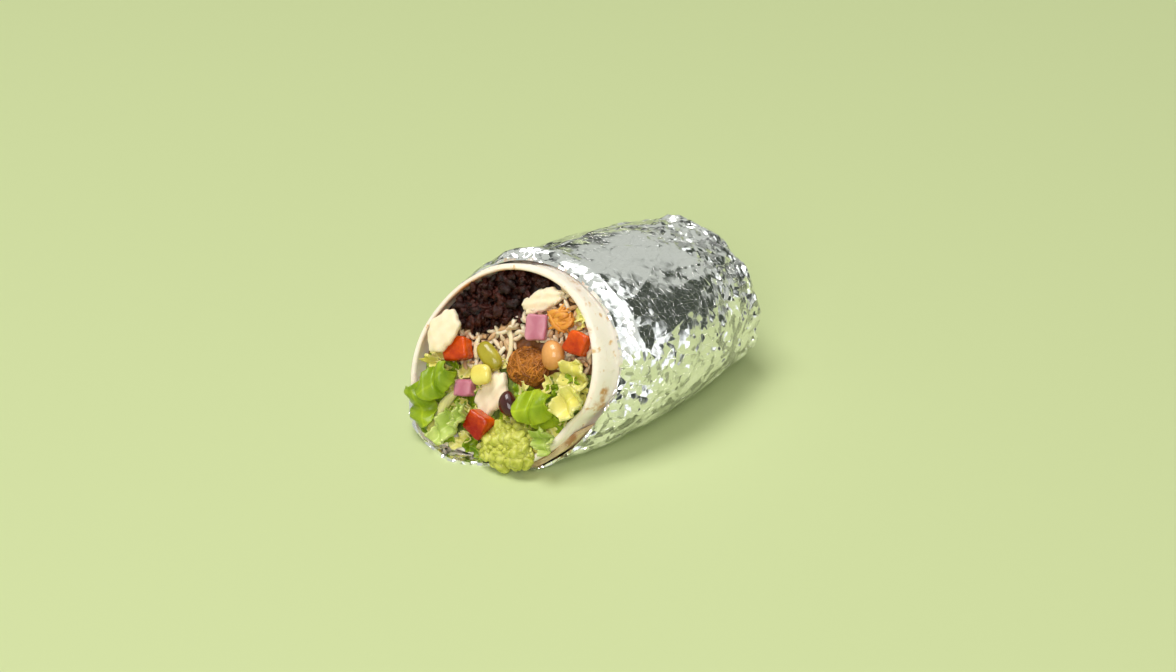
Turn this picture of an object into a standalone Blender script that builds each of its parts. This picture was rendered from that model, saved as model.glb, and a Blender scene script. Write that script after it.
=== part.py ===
"""Foil-wrapped burrito, cut open at one end, lying on its side.

The long axis runs along Y. The open end faces -Y and leans back, so that the filling looks up and
to the front; the foil is gathered shut at +Y. Lengths below are in millimetres, and MM turns them
into metres. Sections are modelled about the foot of the opening, and the last lines move the whole
to the middle of its footprint.
"""
from math import cos, pi, radians, sin, tan

import bmesh
import bpy
import numpy as np
from mathutils import Euler, Matrix, Vector
from mathutils.bvhtree import BVHTree

MM = 0.001

# Driving sizes: the rolled body, read at four stations from the opening to the tucked end
BODY_LENGTH = 109.4
END_DOME = 12.9
STATIONS = (0.0, 0.33, 0.7, 1.0)
HALF_WIDTHS = (40.3, 48.1, 44.8, 38.3)
HALF_HEIGHTS = (40.0, 38.4, 36.3, 32.3)
SIDE_SHIFTS = (0.0, 1.6, 2.6, 0.2)
FLATTENED = 0.152
BASE_ROUNDING = 3.0
CUT_TILT = radians(27.2)
CUT_YAW = radians(12.8)

# Driving sizes: foil, tortilla and filling
FOIL_WALL = 1.1
FOIL_CRUMPLE = 1.8
FOIL_GAP = 0.6
TORTILLA_WALL = 2.3
TORTILLA_WAIST = 2.2
WAIST_START = 14.0
LAP_WALL = 1.5
LAP_GAP = 0.3
LAP_STEP = 2.5
FILLING_GAP = 0.85
FILLING_RECESS = 5.5
CLEARANCE = 0.35
ZONE_GAP = 0.16
LIFT_COST = 0.8

# Where the tortilla's outer end laps over its own wall, in degrees round the section
LAP_FROM, LAP_TO, LAP_RAMP = -68.0, -18.0, 14.0

AXIS_HEIGHT = HALF_HEIGHTS[0] * (1 - FLATTENED)
SIDES = 48


def fresh_scene():
    """Empty the scene of whatever it starts with."""
    for old in list(bpy.data.objects):
        bpy.data.objects.remove(old, do_unlink=True)


def material(name, colour, roughness, metallic=0.0):
    """A plain surface colour with its shine."""
    mat = bpy.data.materials.new(name)
    mat.use_nodes = True
    shader = mat.node_tree.nodes["Principled BSDF"]
    shader.inputs["Base Color"].default_value = (*colour, 1.0)
    shader.inputs["Roughness"].default_value = roughness
    shader.inputs["Metallic"].default_value = metallic
    return mat


def smoothstep(low, high, value):
    """0 below low, 1 above high, with an easy curve between."""
    t = np.clip((np.asarray(value, float) - low) / (high - low), 0, 1)
    return t * t * (3 - 2 * t)


def profile(values, s):
    """The smooth curve through the four stations' values, at fraction s of the body."""
    return np.polyval(np.polyfit(STATIONS, values, 3), np.clip(s, 0, 1))


def rest_on(floor, z):
    """Heights kept above a floor, with a rounded turn from the flat base into the flank."""
    over = np.clip(z - floor, -BASE_ROUNDING, None)
    turned = (over + BASE_ROUNDING) ** 2 / (4 * BASE_ROUNDING)
    return floor + np.where(over < BASE_ROUNDING, turned, over)


def lap_share(theta):
    """1 where the tortilla lies double, 0 elsewhere, with soft flanks."""
    deg = np.degrees((theta + pi) % (2 * pi) - pi)
    rise = smoothstep(LAP_FROM - LAP_RAMP, LAP_FROM, deg)
    return rise * (1 - smoothstep(LAP_TO, LAP_TO + LAP_RAMP, deg))


def waist(behind):
    """How far the tortilla's outer face draws in under the foil, at a distance behind the rim."""
    return TORTILLA_WAIST * smoothstep(0, WAIST_START, behind)


def cut_lean(x, z):
    """How far the plane of the cut lies behind its own middle."""
    return (z - AXIS_HEIGHT) * tan(CUT_TILT) + x * tan(CUT_YAW)


def ring(s, theta, inset, floor, behind=None, dome=END_DOME):
    """One closed loop round the body, inset from its skin and no lower than floor.

    s runs from 0 at the cut to 1 where the end starts to round, and on to 2 at its tip. A flattened
    ellipse is leaned with the cut, less and less towards the far end. behind replaces s by a
    distance in millimetres behind the cut, of one value or of one for each angle.
    """
    if behind is not None:
        s = behind / BODY_LENGTH
    s = np.broadcast_to(np.asarray(s, float), theta.shape)
    round_off = np.clip(s - 1, 0, 1)
    k = np.sqrt(1 - round_off ** 2.6)
    x = (profile(HALF_WIDTHS, s) - inset) * k * np.cos(theta)
    axis = profile(HALF_HEIGHTS, s) * (1 - FLATTENED)
    z = rest_on(floor, (profile(HALF_HEIGHTS, s) - inset) * k * np.sin(theta) + axis)
    lean = np.clip(1 - s, 0, None) ** 1.5
    y = np.clip(s, None, 1) * BODY_LENGTH + lean * ((z - axis) * tan(CUT_TILT) + x * tan(CUT_YAW))
    return np.stack([x + profile(SIDE_SHIFTS, s), y + dome * round_off, z], -1)


def mesh_object(name, verts, faces, mat, smooth=True):
    """A closed mesh with its faces turned outward, from points in millimetres."""
    bm = bmesh.new()
    made = [bm.verts.new(Vector(v) * MM) for v in verts]
    for face in faces:
        bm.faces.new([made[i] for i in face])
    bmesh.ops.recalc_face_normals(bm, faces=bm.faces)
    mesh = bpy.data.meshes.new(name)
    bm.to_mesh(mesh)
    bm.free()
    if smooth:
        mesh.shade_smooth()
        mesh.set_sharp_from_angle(angle=radians(50))
    mesh.materials.append(mat)
    obj = bpy.data.objects.new(name, mesh)
    bpy.context.scene.collection.objects.link(obj)
    return obj


def loft(rings):
    """Skin over a stack of loops with the same number of points, closed at both ends."""
    rings = np.asarray(rings, float)
    count, around = rings.shape[:2]
    faces = [tuple(range(around)), tuple(reversed(range((count - 1) * around, count * around)))]
    for i in range(count - 1):
        for j in range(around):
            k = (j + 1) % around
            a, b, c, d = i * around + j, (i + 1) * around + j, (i + 1) * around + k, i * around + k
            faces += [(a, b, c), (a, c, d)]
    return rings.reshape(-1, 3), faces


# The foil sleeve

def foil_edge(theta):
    """How far the sleeve's front edge stops behind the cut: furthest at the upper right.

    It is drawn back on the left and pushed forward under the filling.
    """
    left = 6 * np.exp(-(((theta - radians(166)) / radians(38)) ** 2))
    under = 5 * np.exp(-(((theta - radians(264)) / radians(28)) ** 2))
    ragged = 0.8 * np.sin(5 * theta) + 0.5 * np.sin(9 * theta + 1)
    return 6 + 6 * np.cos(theta - radians(40)) + left - under + ragged


def foil_relief(theta, behind, z):
    """Crumples of the sleeve: crossed creases whose slopes meet in ridges, flat on the floor."""
    along = behind / 8.0
    turn = theta * 6
    crease = (
        np.abs(np.sin(along + 1.7 * np.sin(turn / 2)))
        + np.abs(np.sin(turn + 0.8 * along + 0.6))
        + np.abs(np.sin(turn / 2 - 1.3 * along))
    ) / 3
    upper_right = smoothstep(0, 0.35, theta) * smoothstep(1.5, 1.1, theta)
    hem = 0.7 * smoothstep(9, 7, behind - foil_edge(theta)) * upper_right
    return (FOIL_CRUMPLE * crease + hem) * smoothstep(0.5, 8, z)


def foil_flare(theta, behind):
    """The loose collar at the upper left: it bulges off the tortilla just behind the front edge."""
    side = np.exp(-(((theta - radians(110)) / radians(23)) ** 2))
    rise = behind - foil_edge(theta)
    return 3.0 * side * smoothstep(-3, 6, rise) * smoothstep(18, 7, rise)


def foil_ring(theta, fraction, outside):
    """A loop of the sleeve, fraction 0 at its front edge and 1 where the end starts to round."""
    edge = foil_edge(theta)
    behind = edge + (BODY_LENGTH - edge) * fraction
    inset = waist(behind) - FOIL_GAP - foil_flare(theta, behind)
    if not outside:
        return ring(0, theta, inset, FOIL_WALL, behind=behind)
    height = ring(0, theta, inset, 0, behind=behind)[:, 2]
    return ring(0, theta, inset - FOIL_WALL - foil_relief(theta, behind, height), 0, behind=behind)


def foil_end(theta, t, outside):
    """A loop of the gathered end, whose pleats run to the tip."""
    inset = TORTILLA_WAIST - FOIL_GAP
    if not outside:
        return ring(1 + t, theta, inset, FOIL_WALL, dome=END_DOME - 1.2)
    pleats = 0.9 * np.abs(np.sin(5.5 * theta + 2.5 * t)) * smoothstep(0, 0.4, t) * smoothstep(1.0, 0.8, t)
    height = ring(1 + t, theta, inset, 0)[:, 2]
    relief = foil_relief(theta, BODY_LENGTH + 0 * theta, height) * (1 - t)
    relief += pleats * smoothstep(0.5, 8, height)
    return ring(1 + t, theta, inset - FOIL_WALL - relief, 0)


def make_foil():
    """The sleeve: a smooth inner face, a crumpled outer one and the gathered end."""
    theta = np.linspace(0, 2 * pi, SIDES, endpoint=False)
    inner = [foil_end(theta, t, False) for t in (0.97, 0.8, 0.5)]
    inner += [foil_ring(theta, f, False) for f in (1, 0.8, 0.6, 0.42, 0.26, 0.13, 0.05, 0)]
    creased = (0, 0.06, 0.13, 0.22, 0.31, 0.4, 0.5, 0.6, 0.7, 0.8, 0.9, 1)
    outer = [foil_ring(theta, f, True) for f in creased]
    outer += [foil_end(theta, t, True) for t in (0.35, 0.6, 0.8, 0.97)]
    verts, faces = loft(inner + outer)
    return mesh_object("foil", verts, faces, material("foil", (0.75, 0.77, 0.74), 0.25, 1.0))


# The tortilla: a cup whose rim shows at the cut, and the end of the sheet lapped over it

def rim_wave(theta, behind):
    """Uneven edge of the cut sheet, fading out behind the rim."""
    return (0.7 * np.sin(3 * theta + 1) + 0.4 * np.sin(5 * theta + 2.2)) * smoothstep(8, 0, behind)


def tortilla_ring(theta, behind, depth, floor):
    """A loop of the sheet, depth millimetres in from its outer face."""
    step = LAP_STEP * lap_share(theta)
    loop = ring(0, theta, waist(behind) + step + depth, floor + step, behind=behind)
    loop[:, 1] += rim_wave(theta, behind)
    return loop


def make_tortilla():
    """A cup with a rounded lip, drawn in where it lies double."""
    theta = np.linspace(0, 2 * pi, SIDES, endpoint=False)
    base = FOIL_WALL + CLEARANCE
    inside = base + TORTILLA_WALL
    step = LAP_STEP * lap_share(theta)
    end = TORTILLA_WAIST + step
    deep, shallow = END_DOME - 5.5, END_DOME - 3.2
    inner = [ring(1 + t, theta, end + TORTILLA_WALL, inside + step, dome=deep) for t in (0.95, 0.6)]
    inner += [tortilla_ring(theta, q, TORTILLA_WALL, inside) for q in (109, 84, 60, 30, 8, 1)]
    lip = [tortilla_ring(theta, -0.5, 1.7, base + 1.6), tortilla_ring(theta, -0.5, 0.5, base + 0.4)]
    outer = [tortilla_ring(theta, q, 0, base) for q in (0.8, 8, 16, 30, 46, 64, 86, 109)]
    outer += [ring(1 + t, theta, end, base + step, dome=shallow) for t in (0.6, 0.95)]
    verts, faces = loft(inner + lip + outer)
    return mesh_object("tortilla", verts, faces, material("tortilla", (0.86, 0.74, 0.55), 0.6))


def make_lap():
    """The sheet's outer end: a curved plate between the cup and the foil, set back from the rim."""
    span = np.radians(np.linspace(LAP_FROM + 4, LAP_TO - 4, 10))
    base = FOIL_WALL + CLEARANCE
    loops = []
    for behind in (4.5, 10, 16, 30, 44, 60, 76, 92, 106):
        q = behind + 1.6 * np.sin(2.2 * span) * smoothstep(20, 5, behind)
        out = ring(0, span, waist(q) + LAP_GAP, base, behind=q)
        back = ring(0, span, waist(q) + LAP_GAP + LAP_WALL, base + LAP_WALL, behind=q)
        loops.append(np.concatenate([out, back[::-1]]))
    verts, faces = loft(loops)
    return mesh_object("tortilla_lap", verts, faces, material("tortilla_lap", (0.72, 0.56, 0.36), 0.65))


# The plane of the cut, and how pieces are laid on the filling behind it

OUT = Vector((tan(CUT_YAW), -1, tan(CUT_TILT))).normalized()
RIGHT = Vector((1, tan(CUT_YAW), 0)).normalized()
UP = OUT.cross(RIGHT)
FACE = Matrix((RIGHT, UP, OUT)).transposed()
SIGHT = Vector((-0.607, 0.618, -0.5)).normalized()
RECESS_DEPTH = FILLING_RECESS * -OUT.y


def lay(verts, x, z, roll=0, tilt=0, turn=0, lift=0.0):
    """Turn a piece in the plane of the cut and lay it on the filling.

    x and z are where its middle shows in the rim's plane, seen along SIGHT. Its lowest point
    touches the bare filling, with a small gap, unless lift raises it.
    """
    spin = Euler((radians(tilt), radians(turn), radians(roll)), "XYZ").to_matrix()
    local = np.asarray(verts, float) @ np.array(spin).T
    depth = RECESS_DEPTH + local[:, 2].min() - CLEARANCE - lift
    seen = Vector((x, cut_lean(x, z), z))
    middle = seen + SIGHT * (depth / -SIGHT.dot(OUT))
    return local @ np.array(FACE).T + np.array(middle)


# Shapes of the pieces, each as points in millimetres and faces

def dice(size, seed, round_off=1.0, chip=0.9):
    """A hand-cut cube: uneven corners and broken edges."""
    rng = np.random.default_rng(seed)
    bm = bmesh.new()
    bmesh.ops.create_cube(bm, size=1)
    for v in bm.verts:
        v.co = Vector(np.array(v.co) * size + rng.uniform(-chip, chip, 3))
    bmesh.ops.bevel(bm, geom=bm.edges[:], offset=round_off, segments=1, affect="EDGES")
    bmesh.ops.triangulate(bm, faces=bm.faces[:])
    verts = [tuple(v.co) for v in bm.verts]
    faces = [tuple(v.index for v in f.verts) for f in bm.faces]
    bm.free()
    return np.array(verts), faces


def bean(length, width, thick, bend=0.0, around=12, along=8, blunt=2.0):
    """A rounded body, bent like a kidney; a higher blunt gives squarer ends."""
    t = np.linspace(-1, 1, along + 1)[1:-1] * 0.985
    t = np.sin(t * pi / 2)
    k = (1 - np.abs(t) ** blunt) ** (1 / blunt)
    phi = np.linspace(0, 2 * pi, around, endpoint=False)
    x = t[:, None] * length / 2 + 0 * phi
    y = k[:, None] * np.cos(phi) * width / 2 + bend * (t[:, None] ** 2 - 0.4)
    z = k[:, None] * np.sin(phi) * thick / 2
    return loft(np.stack([x, y, z], -1))


def strand(points, radius, around=4, flat=1.0, taper=0.6):
    """A strip or fibre along a path, thinner at its ends; flat squashes it."""
    points = np.asarray(points, float)
    run = np.gradient(points, axis=0)
    run /= np.linalg.norm(run, axis=1, keepdims=True)
    side = np.cross(run, (0, 0, 1.0))
    side /= np.linalg.norm(side, axis=1, keepdims=True)
    top = np.cross(side, run)
    phi = np.linspace(0, 2 * pi, around, endpoint=False) + pi / 4
    thick = radius * (1 - (1 - taper) * np.linspace(-1, 1, len(points)) ** 2)
    rings = (
        points[:, None]
        + side[:, None] * (thick[:, None] * np.cos(phi))[..., None]
        + top[:, None] * (thick[:, None] * np.sin(phi) * flat)[..., None]
    )
    return loft(rings)


def bow(length, sag, rise=0.0, steps=7, wave=0.0):
    """A curved path along X with its middle pushed aside and lifted."""
    t = np.linspace(-1, 1, steps)
    return np.stack([t * length / 2, sag * (1 - t * t) + wave * np.sin(4 * t), rise * (1 - t * t)], -1)


def dollop(width, height, thick, seed, lobes=0.18, around=16):
    """A smooth spoonful: a wobbly outline, domed in front and flat behind."""
    rng = np.random.default_rng(seed)
    phi = np.linspace(0, 2 * pi, around, endpoint=False)
    wobble = sum(rng.uniform(-1, 1) * np.cos(n * phi + rng.uniform(0, 6)) / n for n in (2, 3, 4))
    r = 1 + lobes * wobble
    rings = []
    for shrink, z in ((0.5, 0), (0.96, 0), (1, 0.25), (0.9, 0.62), (0.62, 0.9), (0.25, 1)):
        across, up = r * shrink * np.cos(phi) * width / 2, r * shrink * np.sin(phi) * height / 2
        rings.append(np.stack([across, up, 0 * phi + z * thick], -1))
    return loft(rings)


def dome(size, around=14):
    """The front half of an ellipsoid, flat behind."""
    phi = np.linspace(0, 2 * pi, around, endpoint=False)
    rings = []
    for lat in np.radians((0, 22, 44, 64, 80)):
        across, high = cos(lat) * size[0] / 2, cos(lat) * size[1] / 2
        rings.append(np.stack([across * np.cos(phi), high * np.sin(phi), 0 * phi + sin(lat) * size[2]], -1))
    return loft(rings)


def dome_spot(number, count):
    """The numbered one of count places spread evenly over a dome, as a direction on its unit ball."""
    height = (number + 0.6) / count
    round_by = number * pi * (3 - 5 ** 0.5)
    flat = (1 - height * height) ** 0.5
    return Vector((flat * cos(round_by), flat * sin(round_by), height))


def leaf(length, width, bend=3.0, fold=2.0, ruffle=1.4, waves=2.5, thick=0.8, steps=(8, 6), phase=0.0):
    """A thin wavy leaf: bent along its length, folded along its rib, ruffled at its edges."""
    u = np.linspace(0, 1, steps[0])[:, None]
    v = np.linspace(-1, 1, steps[1])[None, :]
    half = width / 2 * np.sin(pi * (0.14 + 0.78 * u)) ** 0.6
    x = v * half
    y = length * (u - 0.5) + 0.08 * length * v * v
    frill = ruffle * v * v * np.sin(2 * pi * waves * u + phase + 1.2 * v)
    z = bend * (2 * u - 1) ** 2 + fold * v * v + frill
    middle = np.stack([x, y + 0 * v, z], -1)
    normal = np.cross(np.gradient(middle, axis=0), np.gradient(middle, axis=1))
    normal /= np.linalg.norm(normal, axis=2, keepdims=True)
    nu, nv = steps
    cells = [(i, j) for i in range(nu - 1) for j in range(nv - 1)]
    back = nu * nv
    faces = []
    for i, j in cells:
        a, b, c, d = i * nv + j, i * nv + j + 1, (i + 1) * nv + j + 1, (i + 1) * nv + j
        faces += [(a, b, c), (a, c, d), (back + a, back + c, back + b), (back + a, back + d, back + c)]
    loop = list(range(nv)) + [i * nv + nv - 1 for i in range(1, nu)]
    loop += [(nu - 1) * nv + j for j in range(nv - 2, -1, -1)] + [i * nv for i in range(nu - 2, 0, -1)]
    for p, q in zip(loop, loop[1:] + loop[:1]):
        faces += [(p, back + q, q), (p, back + p, back + q)]
    verts = np.concatenate([middle + normal * thick / 2, middle - normal * thick / 2])
    return verts.reshape(-1, 3), faces


# The filling: bodies that run through the burrito, parted by planes along its length

ZONE_LINES = {
    "dark_meat": [(-60, 46), (-17, 42), (-4, 51), (10, 63), (15, 90), (-60, 90)],
    "pulled_meat": [(-1, 44), (-2, 36), (1, 30), (11, 28), (19, 30), (21, 38), (17, 44), (7, 47)],
    "rice": [(-60, 46), (-60, 28), (-14, 28), (-2, 36), (-1, 44), (7, 47), (17, 44), (21, 38),
             (60, 43), (60, 90), (15, 90), (10, 63), (-4, 51), (-17, 42)],
    "guacamole": [(-5, -20), (26, -20), (26, 7), (19, 15), (2, 14), (-5, 8)],
    "lettuce": [(-60, 28), (-60, -20), (-5, -20), (-5, 8), (2, 14), (19, 15), (26, 7), (26, -20),
                (60, -20), (60, 43), (21, 38), (19, 30), (11, 28), (1, 30), (-2, 36), (-14, 28)],
}


def inset_outline(outline, gap):
    """The outline with each side moved inward by gap, corners where moved sides cross."""
    points = np.array(outline, float)
    after = np.roll(points, -1, 0)
    area = np.sum(points[:, 0] * after[:, 1] - after[:, 0] * points[:, 1])
    run = (after - points) / np.linalg.norm(after - points, axis=1, keepdims=True)
    inward = np.stack([-run[:, 1], run[:, 0]], -1) * np.sign(area)
    corners = []
    for i in range(len(points)):
        n1, n2 = inward[i - 1], inward[i]
        rhs = [n1 @ points[i] + gap, n2 @ points[i] + gap]
        corners.append(np.linalg.solve(np.array([n1, n2]), rhs))
    return np.array(corners)


def boolean(obj, operation, other=None, collection=None, solver="EXACT"):
    """Combine a mesh with an object or with all of a collection, and keep the result as its mesh."""
    mod = obj.modifiers.new(operation.lower(), "BOOLEAN")
    mod.operation = operation
    mod.solver = solver
    if collection:
        mod.operand_type = "COLLECTION"
        mod.collection = collection
    else:
        mod.object = other
    bpy.context.view_layer.update()
    result = bpy.data.meshes.new_from_object(obj.evaluated_get(bpy.context.evaluated_depsgraph_get()))
    obj.modifiers.clear()
    obj.data = result
    keep_largest(result)


def keep_largest(mesh):
    """Drop loose scraps and fill sealed hollows: only the widest connected skin stays."""
    bm = bmesh.new()
    bm.from_mesh(mesh)
    unseen = set(bm.verts)
    groups = []
    while unseen:
        stack = [unseen.pop()]
        group = []
        while stack:
            vert = stack.pop()
            group.append(vert)
            near = [edge.other_vert(vert) for edge in vert.link_edges]
            near = [v for v in near if v in unseen]
            unseen.difference_update(near)
            stack += near
        groups.append(group)
    groups.sort(key=lambda g: -sum((max(v.co[i] for v in g) - min(v.co[i] for v in g)) for i in range(3)))
    spare = [v for g in groups[1:] for v in g]
    bmesh.ops.delete(bm, geom=spare, context="VERTS")
    bm.to_mesh(mesh)
    bm.free()


def front_y(x, z):
    """The filling's bare front: the plane of the cut, moved back."""
    return cut_lean(x, z) + FILLING_RECESS


def make_zones():
    """One body inside the tortilla, parted into the fillings that show at the cut."""
    theta = np.linspace(0, 2 * pi, 32, endpoint=False)
    floor = FOIL_WALL + CLEARANCE + TORTILLA_WALL + FILLING_GAP
    step = LAP_STEP * lap_share(theta)
    depth = TORTILLA_WALL + FILLING_GAP + step
    floor = floor + step
    front = ring(0, theta, waist(FILLING_RECESS) + depth, floor, behind=FILLING_RECESS)
    front[:, 1] = front_y(front[:, 0], front[:, 2])
    rings = [front] + [ring(0, theta, waist(q) + depth, floor, behind=q) for q in (30, 60, 84, 108)]
    rings.append(ring(1.6, theta, TORTILLA_WAIST + depth, floor, dome=END_DOME - 7.5))
    colours = {
        "dark_meat": (0.075, 0.028, 0.018), "pulled_meat": (0.38, 0.14, 0.04), "rice": (0.62, 0.44, 0.24),
        "guacamole": (0.50, 0.55, 0.12), "lettuce": (0.42, 0.50, 0.12),
    }
    zones = {}
    for name, outline in ZONE_LINES.items():
        verts, faces = loft(rings)
        zone = mesh_object(name, verts, faces, material(name, colours[name], 0.5))
        edge = inset_outline(outline, ZONE_GAP)
        ends = [np.stack([edge[:, 0], 0 * edge[:, 0] + y, edge[:, 1]], -1) for y in (-80, 180)]
        prism = mesh_object("prism", *loft(ends), zone.data.materials[0], smooth=False)
        boolean(zone, "INTERSECT", other=prism)
        bpy.data.objects.remove(prism)
        zones[name] = zone
    return zones


def inside(outline, x, z):
    """Whether a point lies inside an outline, by counting the sides crossed to its right."""
    hits = 0
    for (x0, z0), (x1, z1) in zip(outline, outline[1:] + outline[:1]):
        if (z0 > z) != (z1 > z) and x < x0 + (z - z0) / (z1 - z0) * (x1 - x0):
            hits += 1
    return hits % 2 == 1


def spots(outline, spacing, seed, margin):
    """Scattered places on the filling's front inside an outline, margin clear of the tortilla."""
    rng = np.random.default_rng(seed)
    wide = HALF_WIDTHS[0] - TORTILLA_WALL - FILLING_GAP - margin
    high = HALF_HEIGHTS[0] - TORTILLA_WALL - FILLING_GAP - margin
    places = []
    for row, z in enumerate(np.arange(4, 74, spacing * 0.87)):
        for x in np.arange(-38, 38, spacing) + spacing / 2 * (row % 2):
            px, pz = x + rng.uniform(-0.3, 0.3) * spacing, z + rng.uniform(-0.3, 0.3) * spacing
            round_wall = (px / wide) ** 2 + ((pz - AXIS_HEIGHT) / high) ** 2 < 1
            if round_wall and pz > 5.5 + margin and inside(outline, px, pz):
                places.append((px, pz))
    return places


def tree_of(objects):
    """All surfaces of some objects, for measuring clearances in millimetres."""
    verts, faces = [], []
    for obj in objects:
        start = len(verts)
        verts += [obj.matrix_world @ v.co / MM for v in obj.data.vertices]
        faces += [[start + i for i in p.vertices] for p in obj.data.polygons]
    return BVHTree.FromPolygons(verts, faces)


def is_within(tree, point):
    """Whether a point lies inside a solid of the tree, by counting the surfaces in front of it."""
    hits, spot = 0, Vector(point)
    while True:
        hit = tree.ray_cast(spot, SIGHT)[0]
        if hit is None:
            return hits % 2 == 1
        hits += 1
        spot = hit + SIGHT * 0.001


def crosses(tree, verts, faces):
    """Whether a shape cuts, fills or comes too near the solids of a tree."""
    points = [Vector(v) for v in verts]
    if tree.overlap(BVHTree.FromPolygons(points, faces)) or is_within(tree, points[0]):
        return True
    return min(tree.find_nearest(point)[3] for point in points) < CLEARANCE


def fuse(core, shapes, others, solver="EXACT"):
    """Fuse the shapes that stay clear of the other objects onto a core, by one union."""
    tree = tree_of(others)
    pile = bpy.data.collections.new(core.name + "_pieces")
    bpy.context.scene.collection.children.link(pile)
    for number, (verts, faces) in enumerate(shapes):
        if crosses(tree, verts, faces):
            continue
        piece = mesh_object(f"piece_{number}", verts, faces, core.data.materials[0])
        bpy.context.scene.collection.objects.unlink(piece)
        pile.objects.link(piece)
    boolean(core, "UNION", collection=pile, solver=solver)
    for piece in list(pile.objects):
        bpy.data.objects.remove(piece)
    bpy.data.collections.remove(pile)
    core.data.shade_smooth()
    core.data.set_sharp_from_angle(angle=radians(50))


def crumb(rng, size):
    """A lump with uneven facets."""
    bm = bmesh.new()
    bmesh.ops.create_icosphere(bm, subdivisions=1, radius=1)
    verts = np.array([v.co for v in bm.verts]) * size * rng.uniform(0.75, 1.2, (len(bm.verts), 1))
    faces = [tuple(v.index for v in f.verts) for f in bm.faces]
    bm.free()
    return verts * rng.uniform(0.8, 1.15, 3), faces


def scattered(outline, spacing, seed, margin, shape, lift):
    """Shapes strewn over the front of a filling, each turned at random; shape takes the generator."""
    rng = np.random.default_rng(seed + 1)
    pieces = []
    for x, z in spots(outline, spacing, seed, margin):
        verts, faces = shape(rng)
        rock, nod, roll = rng.uniform(-0.35, 0.35), rng.uniform(-0.35, 0.35), rng.uniform(0, 2 * pi)
        spin = np.array(Euler((rock, nod, roll)).to_matrix())
        out = np.array(OUT) * rng.uniform(*lift)
        place = np.array((x, front_y(x, z), z)) + out
        pieces.append((verts @ spin.T @ np.array(FACE).T + place, faces))
    return pieces


def ground_crumb(rng):
    """A crumb of dark ground meat."""
    return crumb(rng, rng.uniform(2.0, 3.4))


def rice_grain(rng):
    """A cooked long grain, slightly bent."""
    return strand(bow(rng.uniform(5.5, 7.5), rng.uniform(-0.5, 0.5), steps=4), 1.15, around=5, taper=0.55)


def leaf_scrap(rng):
    """A crushed scrap of lettuce, wider than thick."""
    verts, faces = crumb(rng, rng.uniform(2.2, 3.2))
    return verts * (1, 1, 0.6), faces


def moves():
    """Small moves in the plane of the cut and lifts off it, the least first."""
    tries = []
    for lift in np.arange(0, 10.1, 0.5):
        tries.append((LIFT_COST * lift, 0, 0, lift))
        for shift in (0.5, 1.0, 1.5, 2.0, 2.5, 3.0):
            for way in range(8):
                turn = way * pi / 4
                tries.append((shift + LIFT_COST * lift, shift * cos(turn), shift * sin(turn), lift))
    return [move[1:] for move in sorted(tries)]


def settle(name, shape, mat, x, z, laid, **turns):
    """Lay a piece, moved as little as it takes to clear everything laid before it."""
    verts, faces = shape
    tree = tree_of(laid)
    least = turns.pop("lift", 0)
    for dx, dz, lift in moves():
        placed = lay(verts, x + dx, z + dz, lift=least + lift, **turns)
        if not crosses(tree, placed, faces):
            break
    obj = mesh_object(name, placed, faces, mat)
    laid.append(obj)
    return obj


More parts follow.
